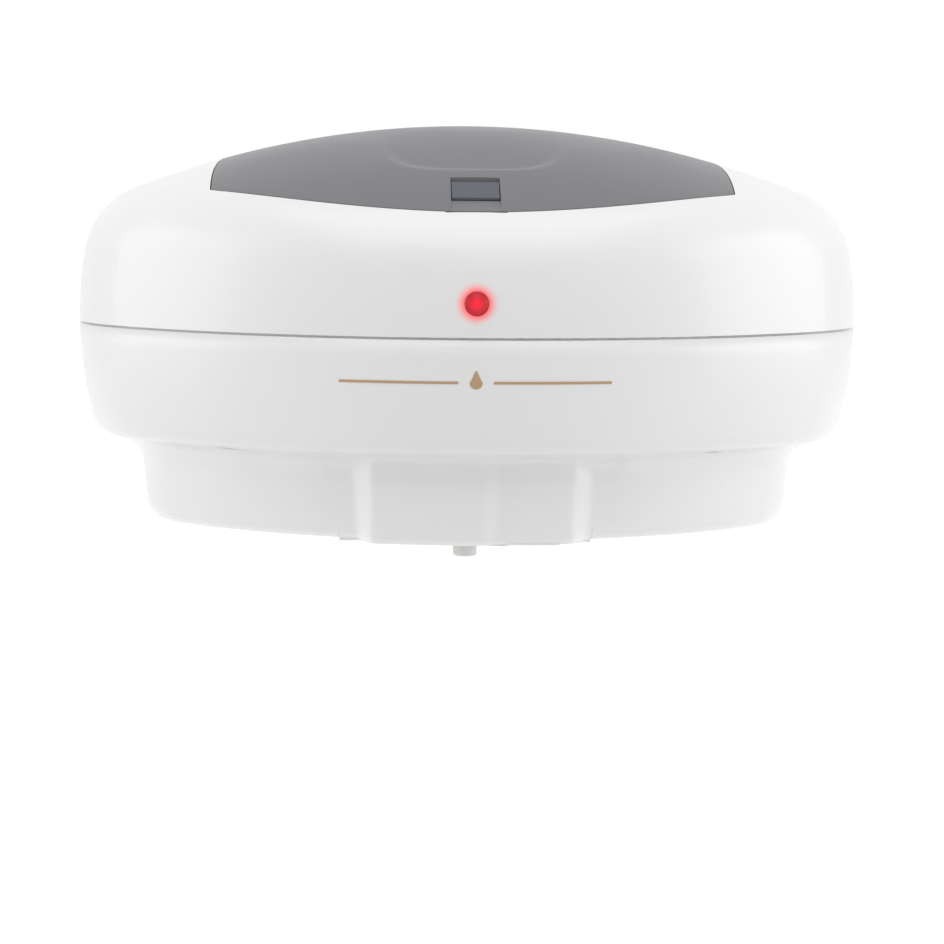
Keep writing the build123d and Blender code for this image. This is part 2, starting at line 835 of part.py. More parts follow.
def panels(inset, low):
    """The two raised panels in the middle of the lower section's front."""
    step = panel_proud - panel_step
    mid_foot = panel_mid + panel_proud / panel_mid_slope
    left_sides = ((panel_left, panel_side_slope, 1), (mid_foot, panel_mid_slope, -1))
    right_sides = ((panel_mid - panel_root, panel_side_slope, 1), (panel_right, panel_side_slope, -1))
    return panel_form(inset, low, panel_proud, left_sides) + panel_form(inset, low, step, right_sides)


def lower_housing():
    """Lower shell: the body below the seam, the section under it, bosses, posts and bottom openings."""
    low_seam = -seam_gap / 2
    rear = rear_gap + wall
    body = lower_form(0, tongue_height) & in_front_of(-rear_gap, 2 * skirt_bottom, low_seam)
    tongue = barrel_block(tongue_inset, ledge_z / 2, tongue_height)
    body = body + (tongue & in_front_of(-rear_gap - tongue_inset, ledge_z, tongue_height))
    body = body + panels(0, panel_bottom)
    inside = lower_form(wall, overrun) & in_front_of(-rear, 2 * skirt_bottom, overrun)
    body = body - inside - panels(wall, floor_top)
    pad_right = bay_right + door_travel + box_wall
    pad_top = floor_top + box_wall
    body = body + block(
        bay_right + box_wall, pad_right, opening_front, opening_back, floor_top - fit_gap, pad_top
    )
    tray = pocket(wall, -back_wall, -rear_gap - fit_gap) & half_space(-2 * depth, low_seam)
    body = body + tray - pocket(0, -rear_recess, 0)
    for slot in tab_windows():
        body = body - slot
    for x, y, turn in shell_post_places():
        column = rod_z(ledge_z + low_seam, shell_screw_seat + wall, x, y, shell_post_radius)
        column = column + rod_z(shell_screw_seat, low_seam, x, y, shell_stem_radius)
        body = body + (column & lower_form(fit_gap, tongue_height))
        body = body - rod_z(-2 * depth, shell_screw_seat, x, y, screw_head_radius + fit_gap)
        body = body - rod_z(-2 * depth, overrun, x, y, screw_radius + fit_gap)
    body = body + tank_ribs()
    for x, y, top, radius in post_places():
        post = rod_z(floor_top - fit_gap, top, x, y, radius)
        body = body + post - rod_z(top - thread_depth, top, x, y, screw_radius)
    return body - bottom_openings()


def tank_ribs():
    """Upright ribs on the shell's ledge that the soap tank stands on."""
    low = ledge_z - ledge_drop
    rib = tank_rib_width / 2
    side_x = half - tank_inset - tank_rib_reach
    front_y = -depth + tank_inset + tank_rib_reach
    bars = block(side_x, half, tank_rib_side_y - rib, tank_rib_side_y + rib, low, tank_floor)
    bars = bars + block(-half, -side_x, tank_rib_side_y - rib, tank_rib_side_y + rib, low, tank_floor)
    for x in (-tank_rib_front_x, tank_rib_front_x):
        bars = bars + block(x - rib, x + rib, -depth, front_y, low, tank_floor)
    return bars & lower_form(fit_gap, tongue_height)


def post_places():
    """Posts on the floor: place, height and radius."""
    foot_y = pump_half_length + pump_foot / 2
    posts = [(spout_x, spout_y - foot_y, pump_bottom, post_radius)]
    posts.append((spout_x, spout_y + foot_y, pump_bottom, post_radius))
    for y in (motor_y - motor_width / 2, motor_y + motor_width / 2):
        posts.append((motor_x + motor_length / 2, y, bracket_low(), post_radius))
    for x, y in board_screw_places():
        posts.append((x, y, board_z, post_radius))
    for x, y in sensor_screw_places():
        posts.append((x, y, sensor_board_z, screw_head_radius))
    return posts


def sensor_screw_places():
    """The two screws of the sensor board, beyond the ends of its window."""
    x = sensor_window_length / 2 + 2 * screw_head_radius
    return [(-x, sensor_y), (x, sensor_y)]


def bracket_low():
    """Height of the motor bracket's foot."""
    return pump_z - motor_height / 2 - 2 * bracket_thickness


def board_screw_places():
    """The four corners where the control board is screwed down."""
    xs = (board_left + board_inset, board_right - board_inset)
    ys = (board_front + board_inset, board_back - board_inset)
    return [(x, y) for x in xs for y in ys]


def bottom_openings():
    """Cuts through the floor: nozzle, sensor window, cell door with its track, and switch slot."""
    low = 2 * skirt_bottom
    cuts = rod_z(low, floor_top + fit_gap, spout_x, spout_y, nozzle_radius + fit_gap)
    reach = sensor_window_length / 2
    side = sensor_window_width / 2
    cuts = cuts + block(-reach, reach, sensor_y - side, sensor_y + side, low, floor_top + fit_gap)
    cuts = cuts + block(
        bay_left, bay_right, opening_front, opening_back, low, floor_top + fit_gap
    )
    track_right = bay_right + door_travel + door_gap
    sill = skirt_bottom + door_thickness + fit_gap
    margin = lip_reach + door_gap
    cuts = cuts + block(bay_right - door_gap, track_right, opening_front, opening_back, low, sill)
    for x in lip_places():
        notch_left = x + door_travel - door_gap
        notch_right = x + door_travel + lip_length + door_gap
        cuts = cuts + block(
            notch_left, notch_right, opening_front - margin, opening_back + margin, low, floor_top + fit_gap
        )
    slot = (knob_length + switch_travel) / 2 + door_gap
    half_knob = knob_width / 2 + door_gap
    cuts = cuts + block(
        switch_x - slot, switch_x + slot, switch_y - half_knob, switch_y + half_knob, low, floor_top + fit_gap
    )
    return cuts


def lip_places():
    """Left ends of the lips that hold the cell door up."""
    run = (bay_right - bay_left - 2 * lip_length) / lip_count
    return [bay_left + lip_length / 2 + run * index for index in range(lip_count)]


def battery_door():
    """Flat door with lips over the floor's sills, ribs under the cells and a ridged grip."""
    low = skirt_bottom
    top = low + door_thickness
    plate = block(door_left, door_right, opening_front + door_gap, opening_back - door_gap, low, top)
    riser_top = floor_top + lip_height + fit_gap
    for x in lip_places():
        for edge, sign in ((opening_front, -1), (opening_back, 1)):
            inner = edge - sign * (lip_stem + door_gap)
            stem_low, stem_high = sorted((inner, edge - sign * door_gap))
            lip_low, lip_high = sorted((inner, edge + sign * lip_reach))
            plate = plate + block(x, x + lip_length, stem_low, stem_high, top - fit_gap, riser_top)
            plate = plate + block(x, x + lip_length, lip_low, lip_high, riser_top - lip_height, riser_top)
    span = opening_back - opening_front
    rib_top = cell_z - cell_radius - running_gap
    for y in (opening_front + span / 4, opening_back - span / 4):
        plate = plate + block(
            door_left + lip_length, door_right - door_travel - 2 * door_gap, y - rib_width / 2,
            y + rib_width / 2, top - fit_gap, rib_top,
        )
    middle_y = (opening_front + opening_back) / 2
    for index in range(grip_count):
        x = door_right - grip_pitch * (index + 1)
        groove = block(
            x - grip_height, x + grip_height, middle_y - grip_width / 2, middle_y + grip_width / 2,
            low - fit_gap, low + grip_height,
        )
        plate = plate - groove
    return plate


def battery_box():
    """Inverted tray over the cells, with a partition between the end cells' contacts."""
    outer = block(
        bay_left - box_wall, bay_right + box_wall, bay_front - box_wall, bay_back + box_wall / 2,
        floor_top, box_top,
    )
    return outer - block(bay_left, bay_right, bay_front, bay_back, floor_top, box_top - box_wall)


def cell_places():
    """The X place of each cell, and whether its nub points to the front."""
    return [(bay_left + cell_pitch * (index + 0.5), index % 2 == 0) for index in range(cell_count)]


def batteries():
    """Four cells side by side, laid alternately."""
    cells = []
    front = cell_back - cell_length
    for x, nub_in_front in cell_places():
        if nub_in_front:
            barrel = rod_y(front + cell_nub, cell_back, x, cell_z, cell_radius)
            nub = rod_y(front, front + cell_nub + fit_gap, x, cell_z, cell_nub_radius)
        else:
            barrel = rod_y(front, cell_back - cell_nub, x, cell_z, cell_radius)
            nub = rod_y(cell_back - cell_nub - fit_gap, cell_back, x, cell_z, cell_nub_radius)
        rim = [edge for edge in barrel.edges() if edge.geom_type == GeomType.CIRCLE]
        cells.append(fillet(rim, radius=cell_nub / 2) + nub)
    return group(cells)


def contact_low():
    """Lower edge of the contact plates, clear above the door's lips."""
    return floor_top + lip_height + lip_height


def contact_plates():
    """Spring-steel plates: pairs bridged at one end, single tags at the other."""
    plates = []
    pad = contact_width / 2
    xs = [x for x, nub_in_front in cell_places()]
    top = cell_z + pad
    rear = (bay_back - contact_thickness, bay_back)
    front = (bay_front, bay_front + contact_thickness)
    for first in range(0, cell_count, 2):
        plates.append(block(xs[first] - pad, xs[first + 1] + pad, *rear, contact_low(), top))
    plates.append(block(xs[0] - pad, xs[0] + pad, *front, contact_low(), top))
    plates.append(block(xs[-1] - pad, xs[-1] + pad, *front, contact_low(), top))
    for first in range(1, cell_count - 1, 2):
        plates.append(block(xs[first] - pad, xs[first + 1] + pad, *front, contact_low(), top))
    return group(plates)


def contact_springs():
    """One coil at the flat end of each cell."""
    springs = []
    room = (bay_length - cell_length) / 2 - contact_thickness - cell_spring_wire - 2 * running_gap
    for x, nub_in_front in cell_places():
        spring = coil(cell_spring_radius, cell_spring_wire, room, cell_spring_turns)
        offset = cell_spring_wire / 2 + running_gap
        if nub_in_front:
            springs.append(Pos(x, cell_back + offset, cell_z) * Rot(-90, 0, 0) * spring)
        else:
            front = bay_front + contact_thickness
            springs.append(Pos(x, front + offset, cell_z) * Rot(-90, 0, 0) * spring)
    return group(springs)


def contact_dimples():
    """Pressed studs that reach from the plates to the cells' nubs."""
    studs = []
    for x, nub_in_front in cell_places():
        if nub_in_front:
            stud_back = cell_back - cell_length
            studs.append(rod_y(bay_front + contact_thickness, stud_back, x, cell_z, cell_nub_radius))
        else:
            studs.append(rod_y(cell_back, bay_back - contact_thickness, x, cell_z, cell_nub_radius))
    return group(studs)


def tank_block(inset, z_low, z_high):
    """The soap tank's plan, between two heights."""
    radius = side_radius - tank_inset
    return plan_prism(
        half - tank_inset - inset, depth - tank_inset - inset, side_run, radius - inset,
        -tank_back - inset, z_low, z_high,
    )


def soap_tank():
    """Translucent tank, open at the filling neck, with a spigot in its floor."""
    tank = tank_block(0, tank_floor, tank_rim)
    low_rim = tank.edges().filter_by_position(Axis.Z, tank_floor - fit_gap, tank_floor + fit_gap)
    tank = fillet(low_rim, radius=tank_corner)
    hollow = tank_block(tank_wall, tank_floor + tank_wall, tank_rim - tank_wall)
    low_rim = hollow.edges().filter_by_position(
        Axis.Z, tank_floor + tank_wall - fit_gap, tank_floor + tank_wall + fit_gap
    )
    tank = tank - fillet(low_rim, radius=tank_corner - tank_wall)
    tank = tank - neck_prism(0, tank_rim - 2 * tank_wall, tank_rim + tank_wall)
    spigot = rod_z(tank_floor - barb_length, tank_floor + tank_wall, spout_x, spout_y, barb_radius)
    tank = tank + spigot
    return tank - rod_z(tank_floor - overrun, tank_floor + 2 * tank_wall, spout_x, spout_y, barb_bore)


def rim_gasket():
    """Flat ring between the tank's rim and the cover's filling neck."""
    top = tank_rim + rim_seal
    return neck_prism(-neck_wall, tank_rim, top) - neck_prism(0, tank_rim, top)


def outlet_strainer():
    """Perforated disc over the tank's outlet."""
    low = tank_floor + tank_wall
    disc = rod_z(low, low + strainer_thickness, spout_x, spout_y, strainer_radius)
    for ring, count in zip(strainer_ring_shares, (strainer_holes // 2, strainer_holes)):
        for index in range(count):
            angle = 2 * pi * index / count
            x = spout_x + ring * strainer_radius * cos(angle)
            y = spout_y + ring * strainer_radius * sin(angle)
            disc = disc - rod_z(low - fit_gap, low + 2 * strainer_thickness, x, y, strainer_hole)
    return disc


def hose(z_low, z_high):
    """A short upright hose over two spigots."""
    tube = rod_z(z_low, z_high, spout_x, spout_y, barb_radius + hose_wall)
    return tube - rod_z(z_low - fit_gap, z_high + fit_gap, spout_x, spout_y, barb_radius)


def inlet_hose():
    """From the tank's spigot down to the pump."""
    return hose(pump_top + barb_length - hose_overlap, tank_floor - barb_length + hose_overlap)


def outlet_hose():
    """From the pump down to the nozzle."""
    return hose(nozzle_top() - hose_overlap, pump_bottom - barb_length + hose_overlap)


def hose_clips():
    """Four spring clips round the hose ends."""
    clips = []
    outer = barb_radius + hose_wall
    heights = (
        tank_floor - barb_length / 2, pump_top + barb_length / 2,
        pump_bottom - barb_length / 2, nozzle_top() - barb_length / 2,
    )
    for z in heights:
        clip = rod_z(z - clip_height / 2, z + clip_height / 2, spout_x, spout_y, outer + clip_wall)
        clips.append(clip - rod_z(z - clip_height, z + clip_height, spout_x, spout_y, outer))
    return group(clips)


def gear_face(teeth, module, phase):
    """Outline of an involute gear with a tooth centred on +Y when phase is zero."""
    pressure = radians(pressure_angle)
    pitch = teeth * module / 2
    base = pitch * cos(pressure)
    tip = pitch + addendum_share * module
    root = pitch - dedendum_share * module
    half_tooth = pi / (2 * teeth) - tooth_thinning_share * module / (2 * pitch) + tan(pressure) - pressure

    def flank_angle(radius):
        slope = acos(min(1, base / radius))
        return half_tooth - (tan(slope) - slope)

    def place(radius, angle):
        return (-radius * sin(angle), radius * cos(angle))

    start = max(root, base)
    middle = (start + tip) / 2
    edges = []
    for index in range(teeth):
        centre = phase + 2 * pi * index / teeth
        following = centre + 2 * pi / teeth
        up = [place(r, centre - flank_angle(r)) for r in (start, middle, tip)]
        down = [place(r, centre + flank_angle(r)) for r in (tip, middle, start)]
        gap_start = place(root, centre + flank_angle(start))
        gap_end = place(root, following - flank_angle(start))
        gap_middle = place(root, (centre + following) / 2)
        edges.append(ThreePointArc(*up))
        edges.append(ThreePointArc(up[-1], place(tip, centre), down[0]))
        edges.append(ThreePointArc(*down))
        if start > root:
            edges.append(Line(down[-1], gap_start))
        edges.append(ThreePointArc(gap_start, gap_middle, gap_end))
        if start > root:
            edges.append(Line(gap_end, place(start, following - flank_angle(start))))
    return make_face(edges)


def gear_solid(teeth, module, phase, x_low, x_high, y, z, bore):
    """A gear whose axis lies along X."""
    wheel = extrude(gear_face(teeth, module, phase), amount=x_high - x_low, dir=(0, 0, 1))
    wheel = wheel - Cylinder(bore, 2 * (x_high - x_low) + 2 * module)
    return Plane(origin=(x_low, y, z), x_dir=(0, 0, -1), z_dir=(1, 0, 0)) * wheel


def pump_drive_gear():
    """Driven from the reduction gear, this wheel turns its neighbour."""
    return gear_solid(pump_teeth, pump_module, 0, pump_left, pump_right, drive_y, pump_z, shaft_radius)


def pump_idler_gear():
    """The second pump wheel, in mesh with the first."""
    phase = pi / pump_teeth
    return gear_solid(pump_teeth, pump_module, phase, pump_left, pump_right, idler_y, pump_z, shaft_radius)


def drive_shaft():
    """Steel shaft through the pump, its cover and the reduction gear, into the bracket."""
    return rod_x(pump_left - pump_wall / 2, bracket_x + bracket_thickness / 2, drive_y, pump_z, shaft_radius)


def idler_shaft():
    """Short shaft of the second pump wheel."""
    end = cover_x + pump_cover_thickness / 2
    return rod_x(pump_left - pump_wall / 2, end, idler_y, pump_z, shaft_radius)


def reduction_gear():
    """Wheel on the drive shaft, turned by the motor's pinion."""
    wheel = gear_solid(gear_teeth, gear_module, 0, gear_x, gear_x + gear_width, drive_y, pump_z, shaft_radius)
    hub = rod_x(gear_x - hub_length, gear_x, drive_y, pump_z, 2 * shaft_radius)
    return wheel + (hub - rod_x(gear_x - 2 * hub_length, gear_x, drive_y, pump_z, shaft_radius))


def motor_pinion():
    """Brass pinion on the motor shaft."""
    phase = pi / pinion_teeth
    return gear_solid(
        pinion_teeth, gear_module, phase, gear_x, gear_x + pinion_width, motor_y, pump_z, motor_shaft_radius
    )


def motor_shaft():
    """The motor's shaft, from its end cap to the pinion."""
    return rod_x(gear_x, motor_x + motor_length, motor_y, pump_z, motor_shaft_radius)


def pump_block(x_low, x_high):
    """The pump's outline between two planes, rounded at its four corners."""
    size = block(
        x_low, x_high, spout_y - pump_half_length, spout_y + pump_half_length, pump_bottom, pump_top
    )
    return fillet(size.edges().filter_by(Axis.X), radius=pump_wall)


def pump_screw_places():
    """Y and Z of the four screws that close the pump."""
    reach = pump_half_length - pump_wall
    rise = pump_half_height - pump_wall
    return [(spout_y + a * reach, pump_z + b * rise) for a in (-1, 1) for b in (-1, 1)]


def pump_body():
    """Pump casing with two gear pockets, an inlet on top and an outlet below."""
    x_low = pump_left - pump_wall
    casing = pump_block(x_low, seal_x)
    room = pump_tip + pump_tip_gap
    for y in (drive_y, idler_y):
        casing = casing - rod_x(pump_left - pump_side_gap, seal_x + fit_gap, y, pump_z, room)
        hole_left = pump_left - pump_wall / 2 - fit_gap
        casing = casing - rod_x(hole_left, seal_x, y, pump_z, shaft_radius + running_gap)
    for x_offset, z_low, z_high in (
        (0, pump_bottom - barb_length, pump_bottom), (0, pump_top, pump_top + barb_length),
    ):
        casing = casing + rod_z(z_low, z_high, spout_x + x_offset, spout_y, barb_radius)
    casing = casing - rod_z(pump_bottom - overrun, pump_z - pump_pitch, spout_x, spout_y, barb_bore)
    casing = casing - rod_z(pump_z + pump_pitch, pump_top + overrun, spout_x, spout_y, barb_bore)
    for sign in (-1, 1):
        near = spout_y + sign * (pump_half_length - pump_wall)
        far = spout_y + sign * (pump_half_length + pump_foot)
        y_low, y_high = sorted((near, far))
        casing = casing + block(
            spout_x - pump_foot / 2, spout_x + pump_foot / 2, y_low, y_high,
            pump_bottom, pump_bottom + pump_foot_thickness,
        )
        hole_y = spout_y + sign * (pump_half_length + pump_foot / 2)
        casing = casing - rod_z(pump_bottom - fit_gap, pump_z, spout_x, hole_y, screw_radius)
    for y, z in pump_screw_places():
        casing = casing - rod_x(seal_x - thread_depth, seal_x + fit_gap, y, z, screw_radius)
    return casing


def pump_gasket():
    """Thin gasket between the casing and its cover."""
    sheet = pump_block(seal_x, cover_x)
    for y in (drive_y, idler_y):
        sheet = sheet - rod_x(seal_x - fit_gap, cover_x + fit_gap, y, pump_z, pump_tip + pump_tip_gap)
    for y, z in pump_screw_places():
        sheet = sheet - rod_x(seal_x - fit_gap, cover_x + fit_gap, y, z, screw_radius)
    return sheet


def pump_cover():
    """End plate of the pump, with the bearing holes."""
    plate = pump_block(cover_x, cover_end)
    plate = plate - rod_x(cover_x - fit_gap, cover_end + fit_gap, drive_y, pump_z, shaft_radius + running_gap)
    end = cover_x + pump_cover_thickness / 2 + fit_gap
    plate = plate - rod_x(cover_x - fit_gap, end, idler_y, pump_z, shaft_radius + running_gap)
    plate = plate - rod_x(cover_end - seal_ring, cover_end + fit_gap, drive_y, pump_z, 2 * shaft_radius)
    for y, z in pump_screw_places():
        plate = plate - rod_x(cover_x - fit_gap, cover_end + fit_gap, y, z, screw_radius)
    return plate


def shaft_seal():
    """Lip seal in the pump cover, round the drive shaft."""
    ring = rod_x(cover_end - seal_ring, cover_end, drive_y, pump_z, 2 * shaft_radius)
    return ring - rod_x(cover_x, cover_end + fit_gap, drive_y, pump_z, shaft_radius + running_gap)


def screw(length, head_radius, head):
    """A pan-head screw: its head sits above z = 0 and its shank points down."""
    body = rod_z(0, head, 0, 0, head_radius) + rod_z(-length, 0, 0, 0, screw_radius)
    crown = [edge for edge in body.edges() if abs((edge @ 0.5).Z - head) < fit_gap]
    body = fillet(crown, radius=head / 3)
    slot = driver_slot / 2
    cross = block(-slot, slot, -head_radius / 2, head_radius / 2, head / 2, 2 * head)
    return body - cross - Rot(0, 0, 90) * cross


def small_screw():
    """The one size of screw that fixes the inner pieces."""
    return screw(thread_depth - screw_head, screw_head_radius, screw_head)


def pump_screws():
    """Four screws that close the pump."""
    length = pump_seal + pump_cover_thickness + thread_depth / 2
    turned = Rot(0, 90, 0) * screw(length, screw_head_radius - driver_slot, screw_head)
    return group([Pos(cover_end, y, z) * turned for y, z in pump_screw_places()])


def motor_bracket():
    """Bent steel plate that holds the motor and the outer end of the drive shaft."""
    low = bracket_low()
    y_low = drive_y - bracket_margin
    y_high = motor_y + motor_width / 2 + post_radius
    top = pump_z + motor_height / 2 + bracket_thickness
    plate = block(bracket_x, motor_x, y_low, y_high, low, top)
    foot_low = motor_y - motor_width / 2 - post_radius
    foot_right = motor_x + motor_length / 2 + post_radius
    foot = block(bracket_x, foot_right, foot_low, y_high, low, low + bracket_thickness)
    plate = plate + foot
    left = bracket_x - fit_gap
    right = motor_x + fit_gap
    plate = plate - rod_x(left, right, drive_y, pump_z, shaft_radius + running_gap)
    plate = plate - rod_x(left, right, motor_y, pump_z, motor_boss_radius + fit_gap)
    for y in (motor_y - motor_width / 2, motor_y + motor_width / 2):
        hole_x = motor_x + motor_length / 2
        plate = plate - rod_z(low - fit_gap, low + 2 * bracket_thickness, hole_x, y, screw_radius)
    for z in motor_screw_heights():
        plate = plate - rod_x(left, right, motor_y, z, screw_radius / 2)
    return plate


def motor_screw_heights():
    """Heights of the two screws in the motor's face."""
    return (pump_z - motor_screw_pitch / 2, pump_z + motor_screw_pitch / 2)


def motor_screws():
    """Two tiny screws in the motor's face."""
    pieces = []
    for z in motor_screw_heights():
        head = rod_x(bracket_x - screw_head / 2, bracket_x, motor_y, z, screw_radius)
        pieces.append(head + rod_x(bracket_x, motor_x + bracket_thickness, motor_y, z, screw_radius / 2))
    return group(pieces)


def motor_can():
    """The motor's steel can, flat on two sides."""
    end = motor_x + motor_length - motor_cap
    can = rod_x(motor_x, end, motor_y, pump_z, motor_width / 2)
    can = can & block(motor_x, end, motor_y - motor_width, motor_y + motor_width,
                      pump_z - motor_height / 2, pump_z + motor_height / 2)
    can = can + rod_x(motor_x - motor_boss, motor_x, motor_y, pump_z, motor_boss_radius)
    can = can - rod_x(motor_x - overrun, end + fit_gap, motor_y, pump_z, motor_shaft_radius + running_gap)
    for z in motor_screw_heights():
        can = can - rod_x(motor_x - fit_gap, motor_x + bracket_thickness, motor_y, z, screw_radius / 2)
    return can


def motor_end_cap():
    """Plastic end cap of the motor."""
    start = motor_x + motor_length - motor_cap
    cap = rod_x(start, motor_x + motor_length + motor_boss, motor_y, pump_z, motor_width / 2 - motor_boss)
    cap = cap & block(start, motor_x + 2 * motor_length, motor_y - motor_width, motor_y + motor_width,
                      pump_z - motor_height / 2 + fit_gap, pump_z + motor_height / 2 - fit_gap)
    bore = motor_shaft_radius + running_gap
    return cap - rod_x(start - fit_gap, motor_x + motor_length, motor_y, pump_z, bore)


def motor_terminals():
    """Two solder tags on the end cap."""
    tags = []
    start = motor_x + motor_length + motor_boss
    for sign in (-1, 1):
        y = motor_y + sign * motor_height / 3
        tags.append(block(start, start + terminal_length, y - terminal_width / 2, y + terminal_width / 2,
                          pump_z - terminal_thickness / 2, pump_z + terminal_thickness / 2))
    return group(tags)


def nozzle_top():
    """Upper end of the nozzle's spigot."""
    return floor_top + nozzle_flange + barb_length


def nozzle():
    """Soft tapered spout with a flange above the floor and a spigot for the hose."""
    body = rod_z(nozzle_tip, floor_top, spout_x, spout_y, nozzle_radius)
    lip = [edge for edge in body.edges() if abs((edge @ 0.5).Z - nozzle_tip) < fit_gap]
    body = fillet(lip, radius=nozzle_flange / 3)
    body = body + rod_z(floor_top, floor_top + nozzle_flange, spout_x, spout_y, nozzle_flange_radius)
    body = body + rod_z(floor_top + nozzle_flange, nozzle_top(), spout_x, spout_y, barb_radius)
    body = body - rod_z(nozzle_tip - fit_gap, nozzle_tip + 2 * valve_height, spout_x, spout_y, nozzle_bore)
    return body - rod_z(nozzle_tip, nozzle_top() + fit_gap, spout_x, spout_y, barb_bore)


def nozzle_collar():
    """Ring that holds the nozzle against the underside of the floor."""
    ring = rod_z(panel_bottom - collar_height, panel_bottom, spout_x, spout_y, collar_radius)
    low = [edge for edge in ring.edges() if abs((edge @ 0.5).Z - panel_bottom + collar_height) < fit_gap]
    ring = fillet(low, radius=collar_height / 3)
    return ring - rod_z(panel_bottom - overrun, panel_bottom + fit_gap, spout_x, spout_y, nozzle_radius)


def drip_valve():
    """Duckbill valve that keeps the soap from dripping."""
    low = nozzle_tip + valve_height
    collar = rod_z(low, low + valve_height, spout_x, spout_y, nozzle_bore)
    lips = rod_z(nozzle_tip + valve_height / 4, low, spout_x, spout_y, nozzle_bore - valve_slit)
    bill = collar + lips
    slit = valve_slit / 2
    bill = bill - block(
        spout_x - barb_bore, spout_x + barb_bore, spout_y - slit, spout_y + slit, nozzle_tip, low + valve_slit
    )
    return bill - rod_z(low, low + 2 * valve_height, spout_x, spout_y, barb_bore)


def sensor_window():
    """Dark window in the floor, with a flange on the inside."""
    reach = sensor_window_length / 2 - fit_gap
    side = sensor_window_width / 2 - fit_gap
    flange = collar_height / 2
    pane = block(-reach, reach, sensor_y - side, sensor_y + side, panel_bottom, floor_top)
    lip = block(
        -reach - flange, reach + flange, sensor_y - side - flange, sensor_y + side + flange,
        floor_top, floor_top + seam_gap,
    )
    return pane + lip


def sensor_eyes():
    """X places of the emitter and the receiver."""
    return (-sensor_spacing / 2, sensor_spacing / 2)


def infrared_eye(x):
    """A 5 mm infrared part that looks down from the sensor board."""
    base = sensor_board_z - eye_radius / 2
    body = rod_z(base - eye_length + eye_radius, base, x, sensor_y, eye_radius)
    body = body + Pos(x, sensor_y, base - eye_length + eye_radius) * Sphere(eye_radius)
    return body + rod_z(base - screw_head / 2, base, x, sensor_y, eye_flange_radius)


def infrared_emitter():
    """Clear emitter on the left."""
    return infrared_eye(sensor_eyes()[0])


def infrared_receiver():
    """Dark receiver on the right."""
    return infrared_eye(sensor_eyes()[1])


def lead_pairs(x, y, z_low, z_high):
    """Two stiff leads of an upright component."""
    half_pitch = eye_radius / 2
    radius = wire_radius / 2
    return [rod_z(z_low, z_high, x + sign * half_pitch, y, radius) for sign in (-1, 1)]


def component_leads():
    """Stiff leads of the two eyes, from their bodies up through the board."""
    base = sensor_board_z - eye_radius / 2
    leads = []
    for x in sensor_eyes():
        leads += lead_pairs(x, sensor_y, base, sensor_board_z)
    return group(leads)


def sensor_board():
    """Circuit board over the sensor window."""
    places = sensor_screw_places()
    reach = places[1][0] + screw_head_radius + fit_gap
    side = sensor_board_width / 2
    top = sensor_board_z + board_thickness
    board = block(-reach, reach, sensor_y - side, sensor_y + side, sensor_board_z, top)
    for x, y in places:
        board = board - rod_z(sensor_board_z - fit_gap, top + fit_gap, x, y, screw_radius)
    return board


def indicator_lens():
    """Red domed lens in the front wall."""
    reach = led_lens_radius
    front = -depth - led_lens_proud
    inside = lens_back - led_lens_flange
    stem = rod_y(-depth + fit_gap, -inside, 0, led_z, reach)
    cap_radius = (reach ** 2 + led_lens_proud ** 2) / (2 * led_lens_proud)
    dome = Pos(0, front + cap_radius, led_z) * Sphere(cap_radius)
    dome = dome & rod_y(front - fit_gap, -depth + fit_gap, 0, led_z, reach)
    flange = rod_y(-lens_back, -inside, 0, led_z, led_lens_flange_radius)
    flange = flange - barrel_ring()
    lens = stem + dome + flange
    return lens - rod_y(-inside - led_length / 2, -inside + fit_gap, 0, led_z, led_radius + 2 * fit_gap)


def barrel_ring():
    """The cover's front wall as a solid, to fit the lens flange against."""
    ring = barrel_block(0, 0, 2 * led_z) - barrel_block(wall, -overrun, crest_z)
    return ring & in_front_of(-depth / 2, -overrun, crest_z)


def indicator_led():
    """Small lamp behind the lens."""
    inside = -(lens_back - led_lens_flange)
    tip = inside - led_length / 2 + fit_gap
    body = rod_y(tip, tip + led_length, 0, led_z, led_radius)
    return body + rod_y(tip + led_length - screw_head / 2, tip + led_length, 0, led_z, led_radius + fit_gap)


def led_board():
    """Board that carries the indicator lamp, held on two posts of the front wall."""
    back = -(lens_back - led_lens_flange) + led_length / 2 + fit_gap
    board = block(
        -led_board_width / 2, led_board_width / 2, back, back + board_thickness,
        led_z - led_board_height / 2, led_z + led_board_height / 2,
    )
    for z in led_post_heights():
        board = board - rod_y(back - fit_gap, back + 2 * board_thickness, 0, z, screw_radius)
    return board


def led_post_heights():
    """Heights of the two posts behind the front wall."""
    reach = led_board_height / 2 - screw_radius - seam_gap
    return (led_z - reach, led_z + reach)


def led_posts():
    """Posts that stand on the inside of the front wall."""
    back = -(lens_back - led_lens_flange) + led_length / 2 + fit_gap
    posts = []
    for z in led_post_heights():
        posts.append(rod_y(-depth + wall / 2, back, 0, z, screw_radius + seam_gap / 2))
    return posts


def switch_body():
    """Slide switch on the floor."""
    body = block(
        switch_x - switch_length / 2, switch_x + switch_length / 2, switch_y - switch_width / 2,
        switch_y + switch_width / 2, floor_top, floor_top + switch_height,
    )
    slot = (knob_length + switch_travel) / 2 + door_gap
    room = knob_width / 2 + door_gap
    return body - block(
        switch_x - slot, switch_x + slot, switch_y - room, switch_y + room,
        floor_top - fit_gap, floor_top + switch_height / 2,
    )


